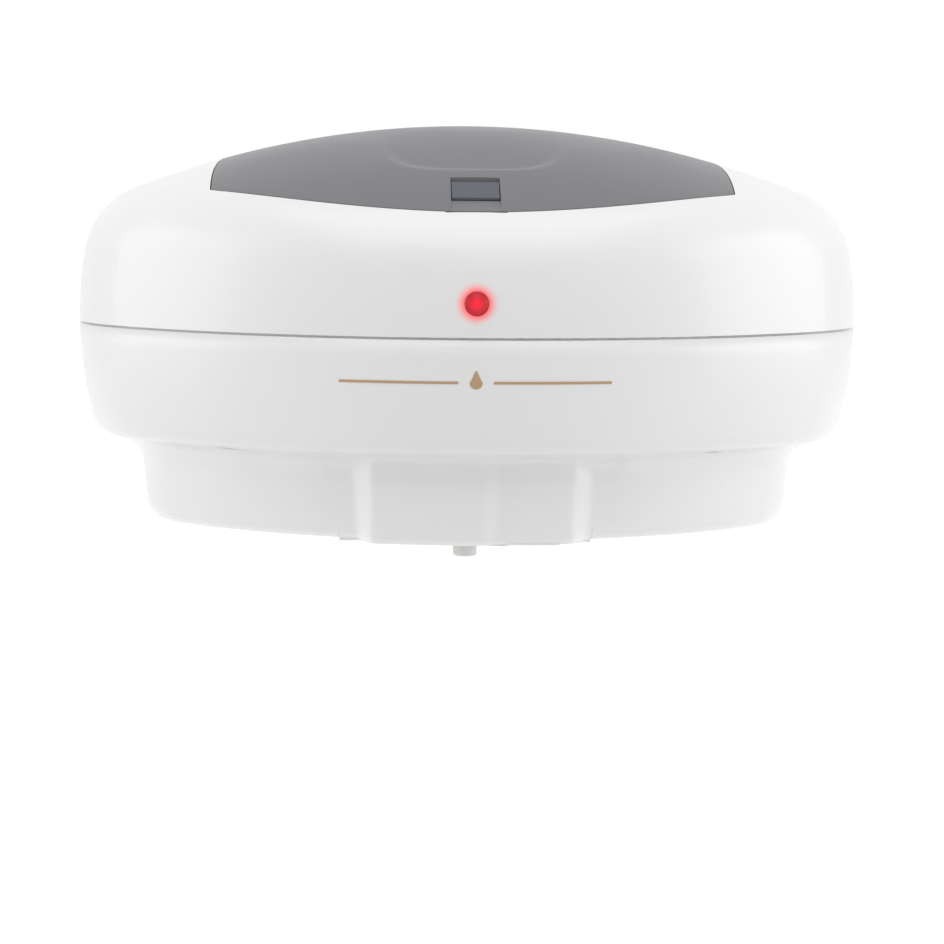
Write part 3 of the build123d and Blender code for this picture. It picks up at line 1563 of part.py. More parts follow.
def switch_knob():
    """Sliding knob of the switch, reached from below, drawn in its off place."""
    left = switch_x - switch_travel / 2 - knob_length / 2
    top = floor_top + switch_height / 2 - fit_gap
    knob = block(
        left, left + knob_length, switch_y - knob_width / 2, switch_y + knob_width / 2,
        skirt_bottom - knob_proud, top,
    )
    for index in range(3):
        x = left + knob_length * (index + 1) / 4
        knob = knob - block(
            x - grip_height / 2, x + grip_height / 2, switch_y - knob_width, switch_y + knob_width,
            skirt_bottom - 2 * knob_proud, skirt_bottom - knob_proud + grip_height,
        )
    return knob


def control_board():
    """Main circuit board on four posts."""
    board = block(board_left, board_right, board_front, board_back, board_z, board_z + board_thickness)
    for x, y in board_screw_places():
        board = board - rod_z(board_z - fit_gap, board_z + 2 * board_thickness, x, y, screw_radius)
    return board


def board_top():
    """Upper face of the control board."""
    return board_z + board_thickness


def board_chips():
    """Controller and driver chips."""
    x = (board_left + board_right) / 2
    y = (board_front + board_back) / 2
    side = chip_side / 2
    top = board_top() + chip_height
    controller = block(x - side, x + side, y - side, y + side, board_top(), top)
    driver = block(x - side, x - side / 3, y - 3 * side, y - 2 * side, board_top(), top)
    return group([controller, driver])


def board_capacitors():
    """Two upright capacitors."""
    y = board_back - 2 * board_inset - capacitor_radius / 2
    x = board_right - 3 * board_inset
    cans = []
    for index in range(2):
        can_x = x - index * connector_pitch
        can = rod_z(board_top(), board_top() + capacitor_height, can_x, y, capacitor_radius)
        rim = [edge for edge in can.edges() if edge.geom_type == GeomType.CIRCLE]
        cans.append(fillet(rim, radius=fit_gap * 4))
    return group(cans)


def board_transistor():
    """Upright motor transistor."""
    x = board_right - 2 * board_inset
    y = board_front + 3 * board_inset
    return block(
        x - transistor_thickness / 2, x + transistor_thickness / 2, y - transistor_width / 2,
        y + transistor_width / 2, board_top(), board_top() + transistor_height,
    )


def connector_places():
    """Y place of each plug on the left edge of the control board."""
    middle = (board_front + board_back) / 2
    first = middle - connector_pitch * (connector_count - 1) / 2
    return [first + connector_pitch * index for index in range(connector_count)]


def board_connectors():
    """Row of small plug housings at the board's left edge."""
    plugs = []
    left = board_left + fit_gap
    for y in connector_places():
        plugs.append(block(
            left, left + connector_width, y - connector_length / 2, y + connector_length / 2,
            board_top(), board_top() + connector_height,
        ))
    return group(plugs)


def inner_screws():
    """Screws of the pump feet, the motor bracket and the two larger boards."""
    places = []
    foot_y = pump_half_length + pump_foot / 2
    for sign in (-1, 1):
        places.append((spout_x, spout_y + sign * foot_y, pump_bottom + pump_foot_thickness))
    for y in (motor_y - motor_width / 2, motor_y + motor_width / 2):
        places.append((motor_x + motor_length / 2, y, bracket_low() + bracket_thickness))
    for x, y in board_screw_places():
        places.append((x, y, board_top()))
    for x, y in sensor_screw_places():
        places.append((x, y, sensor_board_z + board_thickness))
    return group([Pos(x, y, z) * small_screw() for x, y, z in places])


def led_screws():
    """Two screws of the indicator board."""
    back = -(lens_back - led_lens_flange) + led_length / 2 + fit_gap + board_thickness
    turned = Rot(-90, 0, 0) * screw(led_screw_length, screw_head_radius - driver_slot, screw_head)
    return group([Pos(0, back, z) * turned for z in led_post_heights()])


def shell_screws():
    """Four long screws that draw the two shells together from below."""
    turned = Rot(180, 0, 0) * screw(shell_screw_length, screw_head_radius, screw_head)
    return group([Pos(x, y, shell_screw_seat) * turned for x, y, turn in shell_post_places()])


def wall_plate():
    """Wall plate: four countersunk holes, light windows and four hooked tabs."""
    low = plate_z - plate_height / 2
    high = plate_z + plate_height / 2
    plate = block(-plate_width / 2, plate_width / 2, -plate_thickness, 0, low, high)
    plate = fillet(plate.edges().filter_by(Axis.Y), radius=plate_corner)
    window_x = plate_width * plate_window_share / 2
    window_z = plate_height * plate_window_share / 2
    plate = plate - block(
        -window_x + plate_corner, window_x - plate_corner, -overrun, overrun,
        plate_z - window_z + plate_corner, plate_z + window_z - plate_corner,
    )
    for x, z in wall_screw_places():
        plate = plate - rod_y(-overrun, overrun, x, z, wall_screw_radius)
        sink = Pos(x, -plate_thickness + countersink_depth / 2, z) * Rot(90, 0, 0)
        plate = plate - sink * Cone(wall_screw_radius, countersink_radius, countersink_depth)
    for x in (-tab_x, tab_x):
        for z in (-tab_z, tab_z):
            stem_low = z - tab_stem / 2
            stem_high = z + tab_stem / 2
            left = x - tab_width / 2
            right = x + tab_width / 2
            plate = plate + block(left, right, -tab_reach, -plate_thickness, stem_low, stem_high)
            lip_back = -tab_reach + tab_lip_thickness
            plate = plate + block(left, right, -tab_reach, lip_back, stem_low, z + tab_lip)
    return plate


def wall_screw_places():
    """X and Z of the four holes for wall screws."""
    return [(a * screw_pitch_x / 2, b * screw_pitch_z / 2) for a in (-1, 1) for b in (-1, 1)]


def wire(points, bend):
    """A round wire along straight runs joined by arcs."""
    path = FilletPolyline(*points, radius=bend)
    start = Plane(origin=path @ 0, z_dir=path % 0)
    return sweep(start * Circle(wire_radius), path=path)


def wires(offset):
    """The wires of one colour: cells, motor, indicator and sensor, each to its plug."""
    plug_x = board_left + fit_gap
    plug_z = board_top() + connector_height / 2 + offset
    sensor_plug_y, motor_plug_y, cell_plug_y = [y + offset for y in connector_places()]
    corner_x = plug_x - wire_bend
    low_plug_z = plug_z - wire_spacing
    pair_reach = connector_length / 2 - wire_spacing - 2 * fit_gap
    side = 1 if offset > 0 else -1
    cell_y = bay_back - wire_bend + offset
    cell_wire_z = box_top - wire_bend + offset
    from_cells = wire(
        [
            (bay_right + box_wall, cell_y, cell_wire_z),
            (corner_x - 3 * wire_bend, cell_y, cell_wire_z),
            (corner_x, cell_plug_y, plug_z),
            (plug_x, cell_plug_y, plug_z),
        ],
        wire_bend / 2,
    )
    tag_x = motor_x + motor_length + motor_boss + terminal_length / 2
    tag_y = motor_y + side * motor_height / 3
    tag_z = pump_z - terminal_thickness / 2
    from_motor = wire(
        [
            (tag_x, tag_y, tag_z), (tag_x, tag_y, tag_z - terminal_length),
            (tag_x, motor_plug_y, plug_z), (plug_x, motor_plug_y, plug_z),
        ],
        wire_bend / 4,
    )
    lamp_x = side * (led_board_width / 2 - wire_spacing)
    lamp_y = -(lens_back - led_lens_flange) + led_length / 2 + fit_gap + board_thickness + wire_radius
    lamp_low = led_z - led_board_height / 2 - 6 * wire_bend
    from_lamp = wire(
        [
            (lamp_x, lamp_y, led_z - led_radius), (lamp_x, lamp_y, lamp_low),
            (7 * wire_bend, lamp_y + 3 * wire_bend + offset, pump_z + 2 * wire_bend + offset),
            (corner_x - wire_bend, motor_y - 4 * wire_bend + offset, low_plug_z),
            (corner_x, sensor_plug_y - pair_reach, low_plug_z),
            (plug_x, sensor_plug_y - pair_reach, low_plug_z),
        ],
        wire_bend / 4,
    )
    eye_x = sensor_window_length / 2 - wire_bend - 2 * offset
    eye_y = sensor_y + sensor_board_width / 4
    eye_z = sensor_board_z + board_thickness + wire_radius
    from_sensor = wire(
        [
            (eye_x, eye_y, eye_z), (eye_x, eye_y + 2 * wire_bend, eye_z),
            (corner_x - 2 * wire_bend, motor_y - 5 * wire_bend + offset, eye_z + wire_bend + offset),
            (corner_x - wire_bend / 2, sensor_plug_y + pair_reach, low_plug_z),
            (plug_x, sensor_plug_y + pair_reach, low_plug_z),
        ],
        wire_bend / 2,
    )
    return group([from_cells, from_motor, from_lamp, from_sensor])


def red_wires():
    """Supply side of each pair."""
    return wires(-wire_spacing / 2)


def black_wires():
    """Return side of each pair."""
    return wires(wire_spacing / 2)


NODES = (
    ("wall_plate", wall_plate), ("lower_housing", lower_housing), ("upper_cover", upper_cover),
    ("lid", lid), ("lid_gasket", lid_gasket), ("hinge_pins", hinge_pins),
    ("latch_button", latch_button), ("latch_spring", latch_spring), ("soap_tank", soap_tank),
    ("rim_gasket", rim_gasket), ("outlet_strainer", outlet_strainer), ("inlet_hose", inlet_hose),
    ("outlet_hose", outlet_hose), ("hose_clips", hose_clips), ("pump_body", pump_body),
    ("pump_gasket", pump_gasket), ("pump_cover", pump_cover), ("shaft_seal", shaft_seal),
    ("pump_screws", pump_screws), ("pump_drive_gear", pump_drive_gear), ("drive_shaft", drive_shaft),
    ("pump_idler_gear", pump_idler_gear), ("idler_shaft", idler_shaft),
    ("reduction_gear", reduction_gear), ("motor_pinion", motor_pinion), ("motor_shaft", motor_shaft),
    ("motor_can", motor_can), ("motor_end_cap", motor_end_cap), ("motor_terminals", motor_terminals),
    ("motor_bracket", motor_bracket), ("motor_screws", motor_screws), ("nozzle", nozzle),
    ("nozzle_collar", nozzle_collar), ("drip_valve", drip_valve), ("battery_box", battery_box),
    ("batteries", batteries), ("contact_plates", contact_plates), ("contact_springs", contact_springs),
    ("contact_dimples", contact_dimples), ("battery_door", battery_door),
    ("sensor_window", sensor_window), ("infrared_emitter", infrared_emitter),
    ("infrared_receiver", infrared_receiver), ("component_leads", component_leads),
    ("sensor_board", sensor_board), ("indicator_lens", indicator_lens),
    ("indicator_led", indicator_led), ("led_board", led_board), ("led_screws", led_screws),
    ("switch_body", switch_body), ("switch_knob", switch_knob), ("control_board", control_board),
    ("board_chips", board_chips), ("board_capacitors", board_capacitors),
    ("board_transistor", board_transistor), ("board_connectors", board_connectors),
    ("inner_screws", inner_screws), ("shell_screws", shell_screws),
    ("red_wires", red_wires), ("black_wires", black_wires),
)


os.makedirs("parts", exist_ok=True)
for name, make in NODES:
    export_step(make(), os.path.join("parts", name + ".step"))
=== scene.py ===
from math import cos, pi, radians, sin, sqrt

import bmesh
import bpy
from bpy.props import FloatProperty, FloatVectorProperty, PointerProperty
from mathutils import Matrix, Vector
from mathutils.bvhtree import BVHTree


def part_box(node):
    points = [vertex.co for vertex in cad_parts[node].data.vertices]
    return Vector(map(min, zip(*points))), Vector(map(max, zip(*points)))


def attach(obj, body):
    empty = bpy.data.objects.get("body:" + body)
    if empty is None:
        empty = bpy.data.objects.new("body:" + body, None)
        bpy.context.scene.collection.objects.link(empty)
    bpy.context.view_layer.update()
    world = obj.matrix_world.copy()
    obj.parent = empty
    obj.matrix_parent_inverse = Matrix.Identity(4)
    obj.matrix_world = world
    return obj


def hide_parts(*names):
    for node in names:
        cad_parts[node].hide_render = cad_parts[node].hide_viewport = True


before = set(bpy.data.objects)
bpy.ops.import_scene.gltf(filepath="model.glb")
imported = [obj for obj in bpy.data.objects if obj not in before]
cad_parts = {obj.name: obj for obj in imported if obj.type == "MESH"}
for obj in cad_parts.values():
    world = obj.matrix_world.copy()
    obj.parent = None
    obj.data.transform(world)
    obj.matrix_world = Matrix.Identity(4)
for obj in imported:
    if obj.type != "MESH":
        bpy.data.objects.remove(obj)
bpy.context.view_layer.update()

bl_info = {
    "name": "Wall soap dispenser",
    "version": (1, 0, 0),
    "blender": (4, 5, 0),
    "location": "3D View > Sidebar > Dispenser",
    "description": "Dresses the packed solids of a sensor soap dispenser and sets its studio",
    "category": "Object",
}

# Form of the body, in metres, as the solids have it
DEPTH = 0.118
FRONT_RADIUS = 0.1526
BARREL_RADIUS = 0.130
BARREL_MIDDLE = 0.002
CREST_HEIGHT = 0.0659
CREST_PLACE = -0.015
CREST_RADIUS = 0.1645
CREST_TURN = pi / 4
CROWN_RADIUS = 0.280
CROWN_GROWTH = 0.35
CROWN_START = 0.012
CROWN_RUN = 0.144

# Glow of the lamp: a painted glow on the front wall, and the glow in the lens
LAMP_HEIGHT = 0.0109
GLOW_INNER = 0.0037
GLOW_OUTER = 0.0078
GLOW_FALLOFF = 1.7
GLOW_SHARE = 0.70
SKIN_INNER = 0.0030
SKIN_OUTER = 0.0024
LENS_INNER = 0.0004
LENS_OUTER = 0.0038
PINK_SHARE = 1.1
LENS_RIM_SHARE = 0.30
LENS_BODY_SHARE = 0.7
LENS_EDGE_LIGHT = 0.45
LENS_GREEN_LIFT = 2.2
LENS_BLUE_LIFT = 1.8

# Lower section with its cove, its toe and the two raised panels in front
BELLY_INSET = 0.0079
SECTION_INSET = 0.0134
SECTION_DRAFT = 0.108
COVE_TOP = -0.0365
COVE_RUN = 0.0105
PANEL_COVE_RUN = 0.0075
COVE_POWER = 3.6
PANEL_COVE_POWER = 6.0
SECTION_BOTTOM = -0.0662
TOE_RADIUS = 0.0058
PANEL_TOE_RADIUS = 0.0024
PANEL_PROUD = 0.0044
PANEL_STEP = 0.0014

# Start and end of the rises beside the panels, each as x at the top and at the bottom
PANEL_EDGES = (
    ((-0.0398, -0.0368), (-0.0314, -0.0314)), ((0.0024, 0.0024), (0.0098, 0.0082)),
    ((0.0316, 0.0308), (0.0398, 0.0380)),
)

# Part of the lower shell that is drawn to that form, and how it eases off beside and behind it
PANEL_REACH = 0.050
PANEL_FADE = 0.006
PANEL_REAR = -0.070
WALL_REACH = 0.0045
WALL_FADE = 0.016
WINDOW_SIDE = 0.018
WINDOW_REACH = 0.0010
WINDOW_FADE = 0.0026
CUT_STEP = 0.0009
PROBE_SIDE = 0.0005
PROBE_LIFT = 0.0001

# Finger dish in the lid
DISH_HALF_WIDTH = 0.0305
DISH_MIDDLE = -0.052
DISH_REACH = 0.0305
DISH_POWER = 3.2
DISH_EDGE = 0.0052
DISH_FADE = -0.078
DISH_REAR = -0.036
DISH_FRONT = -0.084
DISH_MARGIN = 0.004
LID_SKIN = 0.001
UPWARD = 0.5

# Raised ornament on the front wall
ORNAMENT_HEIGHT = -0.0136
ORNAMENT_REACH = 0.0425
ORNAMENT_GAP = 0.0055
LINE_WIDTH = 0.0008
DROP_RADIUS = 0.0020
DROP_TAPER = 0.55
DROP_GROWTH = 0.9
DROP_SEGMENTS = 48
ORNAMENT_PROUD = 0.00012
ORNAMENT_SUNK = 0.0004
ORNAMENT_STEP = 0.0012

# Printed sleeves of the cells: bare ends, and a light band near one of them
CELL_END = 0.0016
CELL_EDGE = 0.0012
BAND_START = 0.55
BAND_END = 0.56

# Merging distances and shading angles of the new pieces
MERGE_REACH = 1e-6
CUT_REACH = 1e-7
SHELL_ANGLE = radians(26)
LID_ANGLE = radians(11)

# Studio: aim and size of the soft boxes, the floor, and the camera
AIM = Vector((0.0, -0.06, 0.0))
TOP_PLACE = (0.0, -0.45, 1.25)
TOP_SIZE = 1.3
SIDE_PLACE = (1.40, -0.20, 0.30)
SIDE_SIZE = 1.1
RIGHT_SHARE = 1.15
FLOOR_SIZE = 6
FLOOR_SHARE = 0.86
CAMERA_TURN = radians(-1.76)
CAMERA_YAW = radians(-1.91)
CAMERA_TIP = radians(5.88)
CAMERA_ROLL = radians(0.56)
CAMERA_DISTANCE = 1.1
CAMERA_HEIGHT = 0.060
FOCAL_PIXELS = 3187
PICTURE_PIXELS = 944
SENSOR_WIDTH = 36
NEAR_CLIP = 0.05


# Small helpers for shader trees


def add_node(tree, kind, settings=None, **inputs):
    """One shader node; an input may be a value or another node's socket."""
    made = tree.nodes.new(kind)
    for name, value in (settings or {}).items():
        setattr(made, name, value)
    for name, value in inputs.items():
        feed(tree, made.inputs[name.replace("_", " ")], value)
    return made


def feed(tree, socket, value):
    """Links a socket or sets a plain value."""
    if isinstance(value, bpy.types.NodeSocket):
        tree.links.new(value, socket)
    else:
        socket.default_value = value


def maths(tree, operation, first, second=0.0):
    """The result of one sum on two numbers."""
    made = tree.nodes.new("ShaderNodeMath")
    made.operation = operation
    feed(tree, made.inputs[0], first)
    feed(tree, made.inputs[1], second)
    return made.outputs[0]


def spread(tree, value, low, high, to_low=0.0, to_high=1.0):
    """A number taken from one range to another, with soft ends."""
    made = add_node(tree, "ShaderNodeMapRange", {"interpolation_type": "SMOOTHSTEP"}, Value=value)
    numbers = {"From Min": low, "From Max": high, "To Min": to_low, "To Max": to_high}
    for name, number in numbers.items():
        feed(tree, made.inputs[name], number)
    return made.outputs[0]


def blend_colours(tree, factor, first, second):
    """Two colours mixed by a mask."""
    made = tree.nodes.new("ShaderNodeMix")
    made.data_type = "RGBA"
    feed(tree, made.inputs[0], factor)
    feed(tree, made.inputs[6], first)
    feed(tree, made.inputs[7], second)
    return made.outputs[2]


def new_group(name, inputs, outputs):
    """An empty shader node group with named float or colour sockets."""
    group = bpy.data.node_groups.new(name, "ShaderNodeTree")
    for title, value in inputs:
        kind = "NodeSocketFloat" if isinstance(value, float) else "NodeSocketColor"
        socket = group.interface.new_socket(title, in_out="INPUT", socket_type=kind)
        socket.default_value = value
    for title, kind in outputs:
        group.interface.new_socket(title, in_out="OUTPUT", socket_type=kind)
    return group, group.nodes.new("NodeGroupInput"), group.nodes.new("NodeGroupOutput")


def object_place(tree):
    """Object coordinates of the shaded point."""
    return tree.nodes.new("ShaderNodeTexCoord").outputs["Object"]


def noise(tree, place, scale, detail, **inputs):
    """The value of a noise pattern."""
    made = add_node(
        tree, "ShaderNodeTexNoise", Vector=place, Scale=scale, Detail=detail, **inputs,
    )
    return made.outputs["Fac"]


def surface_outputs():
    """The masks that each finish group puts out."""
    return [(name, "NodeSocketFloat") for name in ("Tone", "Roughness", "Height")]


def moulding_group():
    """Moulded surface: fine grain, slow ripple, patches of handling sheen and specks of dust."""
    group, given, out = new_group(
        "moulded surface",
        [("Grain Scale", 9000.0), ("Ripple", 0.15), ("Sheen Low", 0.25), ("Sheen High", 0.35)],
        surface_outputs(),
    )
    place = object_place(group)
    grain = noise(group, place, given.outputs["Grain Scale"], 3.0)
    ripple = noise(group, place, 38.0, 1.0)
    patches = noise(group, place, 30.0, 2.0, Roughness=0.5)
    specks = add_node(group, "ShaderNodeTexVoronoi", {"feature": "F1"}, Vector=place, Scale=420.0)
    dust = spread(group, specks.outputs["Distance"], 0.05, 0.10, 1.0, 0.0)
    tone = maths(group, "SUBTRACT", patches, maths(group, "MULTIPLY", dust, 0.12))
    group.links.new(tone, out.inputs["Tone"])
    sheen = spread(group, patches, 0.10, 0.90)
    mixed = group.nodes.new("ShaderNodeMix")
    feed(group, mixed.inputs[0], sheen)
    feed(group, mixed.inputs[2], given.outputs["Sheen Low"])
    feed(group, mixed.inputs[3], given.outputs["Sheen High"])
    group.links.new(mixed.outputs[0], out.inputs["Roughness"])
    slow = maths(group, "MULTIPLY", ripple, given.outputs["Ripple"])
    group.links.new(maths(group, "ADD", grain, slow), out.inputs["Height"])
    return group


def brushing_group():
    """Drawn or rolled metal: long fine lines along one axis, with a few stains."""
    group, given, out = new_group(
        "drawn metal",
        [("Along X", 60.0), ("Along Y", 2400.0), ("Along Z", 2400.0), ("Base", 0.3)],
        surface_outputs(),
    )
    scale = group.nodes.new("ShaderNodeCombineXYZ")
    for index, name in enumerate(("Along X", "Along Y", "Along Z")):
        group.links.new(given.outputs[name], scale.inputs[index])
    stretched = add_node(group, "ShaderNodeVectorMath", {"operation": "MULTIPLY"})
    group.links.new(object_place(group), stretched.inputs[0])
    group.links.new(scale.outputs[0], stretched.inputs[1])
    lines = noise(group, stretched.outputs[0], 1.0, 4.0)
    stains = noise(group, object_place(group), 160.0, 4.0)
    group.links.new(stains, out.inputs["Tone"])
    stained = spread(group, stains, 0.35, 0.75, 0.0, 0.16)
    rough = maths(group, "ADD", given.outputs["Base"], stained)
    scored = maths(group, "MULTIPLY", lines, 0.08)
    group.links.new(maths(group, "ADD", rough, scored), out.inputs["Roughness"])
    group.links.new(lines, out.inputs["Height"])
    return group


def glow_group():
    """A soft round mask about the lamp's axis, for the painted glow on the wall and the lens's
    middle.
    """
    group, given, out = new_group(
        "lamp glow",
        [("Inner", GLOW_INNER), ("Outer", GLOW_OUTER), ("Falloff", GLOW_FALLOFF)],
        [("Mask", "NodeSocketFloat")],
    )
    flat = add_node(group, "ShaderNodeVectorMath", {"operation": "MULTIPLY"})
    group.links.new(object_place(group), flat.inputs[0])
    flat.inputs[1].default_value = (1, 0, 1)
    reach = add_node(group, "ShaderNodeVectorMath", {"operation": "DISTANCE"})
    group.links.new(flat.outputs[0], reach.inputs[0])
    reach.inputs[1].default_value = (0, 0, LAMP_HEIGHT)
    falling = spread(
        group, reach.outputs["Value"], given.outputs["Inner"], given.outputs["Outer"], 1.0, 0.0,
    )
    group.links.new(maths(group, "POWER", falling, given.outputs["Falloff"]), out.inputs["Mask"])
    return group


def tracks_group():
    """Copper tracks and round pads on a circuit board."""
    group, given, out = new_group(
        "board tracks",
        [("Pitch", 420.0)],
        [("Track", "NodeSocketFloat"), ("Pad", "NodeSocketFloat"), ("Height", "NodeSocketFloat")],
    )
    place = object_place(group)
    cells = add_node(
        group, "ShaderNodeTexVoronoi", {"feature": "DISTANCE_TO_EDGE"}, Vector=place,
        Scale=given.outputs["Pitch"], Randomness=0.55,
    )
    track = spread(group, cells.outputs["Distance"], 0.05, 0.09, 1.0, 0.0)
    dots = add_node(
        group, "ShaderNodeTexVoronoi", {"feature": "F1"}, Vector=place,
        Scale=given.outputs["Pitch"], Randomness=0.2,
    )
    pad = spread(group, dots.outputs["Distance"], 0.14, 0.18, 1.0, 0.0)
    group.links.new(track, out.inputs["Track"])
    group.links.new(pad, out.inputs["Pad"])
    group.links.new(maths(group, "MAXIMUM", track, pad), out.inputs["Height"])
    return group


GROUPS = {}


def placed_group(tree, name, **inputs):
    """A shared node group placed in a material with its own values."""
    makers = {
        "moulded": moulding_group, "drawn": brushing_group, "glow": glow_group,
        "tracks": tracks_group,
    }
    if name not in GROUPS:
        GROUPS[name] = makers[name]()
    made = tree.nodes.new("ShaderNodeGroup")
    made.node_tree = GROUPS[name]
    for title, value in inputs.items():
        feed(tree, made.inputs[title.replace("_", " ")], value)
    return made.outputs


def new_material(name):
    """A material with a plain Principled shader joined to its output."""
    material = bpy.data.materials.new(name)
    material.use_nodes = True
    tree = material.node_tree
    tree.nodes.clear()
    shader = tree.nodes.new("ShaderNodeBsdfPrincipled")
    out = tree.nodes.new("ShaderNodeOutputMaterial")
    tree.links.new(shader.outputs[0], out.inputs[0])
    return material, tree, shader


def principled(material):
    """The Principled shader of a material."""
    return next(node for node in material.node_tree.nodes if node.type == "BSDF_PRINCIPLED")


def join_finish(tree, shader, tint, surface, bump, constants):
    """Joins a finish's masks to a shader and sets the values that are the same all over."""
    feed(tree, shader.inputs["Base Color"], tint)
    feed(tree, shader.inputs["Roughness"], surface["Roughness"])
    feed(tree, shader.inputs["Normal"], bump.outputs[0])
    for title, value in constants.items():
        feed(tree, shader.inputs[title.replace("_", " ")], value)


def shade(colour, factor):
    """A colour made lighter or darker, as four numbers."""
    return (*[min(1.0, channel * factor) for channel in colour[:3]], 1.0)


def moulded(name, colour, low, high, relief=0.00002, tone=0.04, ripple=0.15, **constants):
    """Moulded plastic, rubber or resin in one colour with a little variety."""
    material, tree, shader = new_material(name)
    surface = placed_group(tree, "moulded", Ripple=ripple, Sheen_Low=low, Sheen_High=high)
    tint = blend_colours(tree, surface["Tone"], shade(colour, 1 - tone), shade(colour, 1 + tone))
    bump = add_node(
        tree, "ShaderNodeBump", Strength=0.35, Distance=relief, Height=surface["Height"],
    )
    join_finish(tree, shader, tint, surface, bump, constants)
    return material


def drawn(name, colour, base, along):
    """Bare or plated metal with lines along an axis."""
    material, tree, shader = new_material(name)
    surface = placed_group(
        tree, "drawn", Along_X=along[0], Along_Y=along[1], Along_Z=along[2], Base=base,
    )
    tint = blend_colours(tree, surface["Tone"], shade(colour, 0.82), shade(colour, 1.08))
    bump = add_node(
        tree, "ShaderNodeBump", Strength=0.25, Distance=0.00002, Height=surface["Height"],
    )
    join_finish(tree, shader, tint, surface, bump, {"Metallic": 1.0})
    return material


def dress(material, *nodes):
    """Gives each named solid a material in all its slots."""
    for name in nodes:
        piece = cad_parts[name]
        if not piece.material_slots:
            piece.data.materials.append(material)
        for slot in piece.material_slots:
            slot.material = material


# Form of the body


def crown_height(x, y):
    """Height of the dome over a place of the plan."""
    centre = CREST_HEIGHT - CREST_RADIUS
    touch = CREST_PLACE - CREST_RADIUS * sin(CREST_TURN)
    if y < touch:
        top = centre + CREST_RADIUS * cos(CREST_TURN) - (touch - y)
    else:
        top = centre + sqrt(CREST_RADIUS ** 2 - (y - CREST_PLACE) ** 2)
    crown = CROWN_RADIUS * (1 + CROWN_GROWTH * (CROWN_START - y) / CROWN_RUN)
    return top - crown + sqrt(crown ** 2 - x ** 2)


def wall_draw(z):
    """How far the barrelled wall draws in at a height."""
    return BARREL_RADIUS - sqrt(BARREL_RADIUS ** 2 - (z - BARREL_MIDDLE) ** 2)


def front_wall(x, z):
    """Y of the front wall at a place across it."""
    centre = FRONT_RADIUS - DEPTH
    return centre - sqrt((FRONT_RADIUS - wall_draw(z)) ** 2 - x ** 2)


def smooth_step(value, start, end):
    """0 before a start, 1 after an end and a soft rise between them."""
    share = min(1.0, max(0.0, (value - start) / (end - start)))
    return share * share * (3 - 2 * share)


def between(first, second, share):
    """A value between two others."""
    return first + (second - first) * share


def panel_shares(x, z):
    """How far a place is onto the panels, past the step between them, and past their right side."""
    drop = min(1.0, max(0.0, (COVE_TOP - z) / (COVE_TOP - SECTION_BOTTOM)))
    shares = []
    for starts, ends in PANEL_EDGES:
        start = between(starts[0], starts[1], drop)
        end = between(ends[0], ends[1], drop)
        shares.append(smooth_step(x, start, end))
    return shares


def section_front(x, z):
    """Y of the lower section's front, with its cove, its panels and its rounded toe."""
    left, middle, right = panel_shares(x, z)
    raised = left * (1 - right)
    proud = PANEL_PROUD * left - PANEL_STEP * middle - (PANEL_PROUD - PANEL_STEP) * right
    run = between(COVE_RUN, PANEL_COVE_RUN, raised)
    power = between(COVE_POWER, PANEL_COVE_POWER, raised)
    turned = min(1.0, max(0.0, (COVE_TOP - z) / run))
    inset = BELLY_INSET + (SECTION_INSET - proud) * (1 - (1 - turned) ** power)
    inset += SECTION_DRAFT * max(0.0, COVE_TOP - COVE_RUN - z)
    toe = between(TOE_RADIUS, PANEL_TOE_RADIUS, raised)
    below = min(toe, max(0.0, SECTION_BOTTOM + toe - z))
    inset += toe - sqrt(toe ** 2 - below ** 2)
    return FRONT_RADIUS - DEPTH - sqrt((FRONT_RADIUS - inset) ** 2 - x ** 2)


def dish_drop(x, y, depth):
    """Depth of the lid's finger dish at a place, with a firm front edge and a long soft rear."""
    along = max(0.0, (DISH_MIDDLE - y) / DISH_REACH)
    across = abs(x) / DISH_HALF_WIDTH
    inside = (1 - (across ** DISH_POWER + along ** DISH_POWER) ** (1 / DISH_POWER)) * DISH_REACH
    return depth * smooth_step(inside, 0, DISH_EDGE) * (1 - smooth_step(y, DISH_FADE, DISH_REAR))


def on_dish(x, y, z):
    """Whether a point of the lid lies on its outer skin, where the dish is."""
    near = abs(x) < DISH_HALF_WIDTH and DISH_FRONT < y < DISH_REAR
    return near and z > crown_height(x, y) - LID_SKIN


def hold_share(x, y, z, rear):
    """How much of the drawn form a point of the lower shell takes on."""
    aside = smooth_step(abs(x), WINDOW_SIDE, PANEL_REACH - PANEL_FADE)
    reach = between(WINDOW_REACH, WALL_REACH, aside)
    fade = between(WINDOW_FADE, WALL_FADE, aside)
    hold = 1 - smooth_step(abs(x), PANEL_REACH - PANEL_FADE, PANEL_REACH)
    hold *= 1 - smooth_step(y - rear, reach, reach + fade)
    return hold * smooth_step(COVE_TOP - z, 0, CUT_STEP)


# Mesh helpers


def merged_copy(node):
    """A bmesh of a solid's mesh with its loose triangles joined."""
    shape = bmesh.new()
    shape.from_mesh(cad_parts[node].data)
    bmesh.ops.remove_doubles(shape, verts=shape.verts, dist=MERGE_REACH)
    return shape


def cut_by_planes(shape, chosen, axis, first, last, step):
    """Cuts the chosen faces by evenly spaced planes across an axis, to let them bend there."""
    faces = [face for face in shape.faces if chosen(face)]
    edges = {edge for face in faces for edge in face.edges}
    points = {point for face in faces for point in face.verts}
    geometry = [*faces, *edges, *points]
    for index in range(int((last - first) / step) + 1):
        place = axis * (first + index * step)
        geometry = bmesh.ops.bisect_plane(
            shape, geom=geometry, dist=CUT_REACH, plane_co=place, plane_no=axis,
        )["geom"]


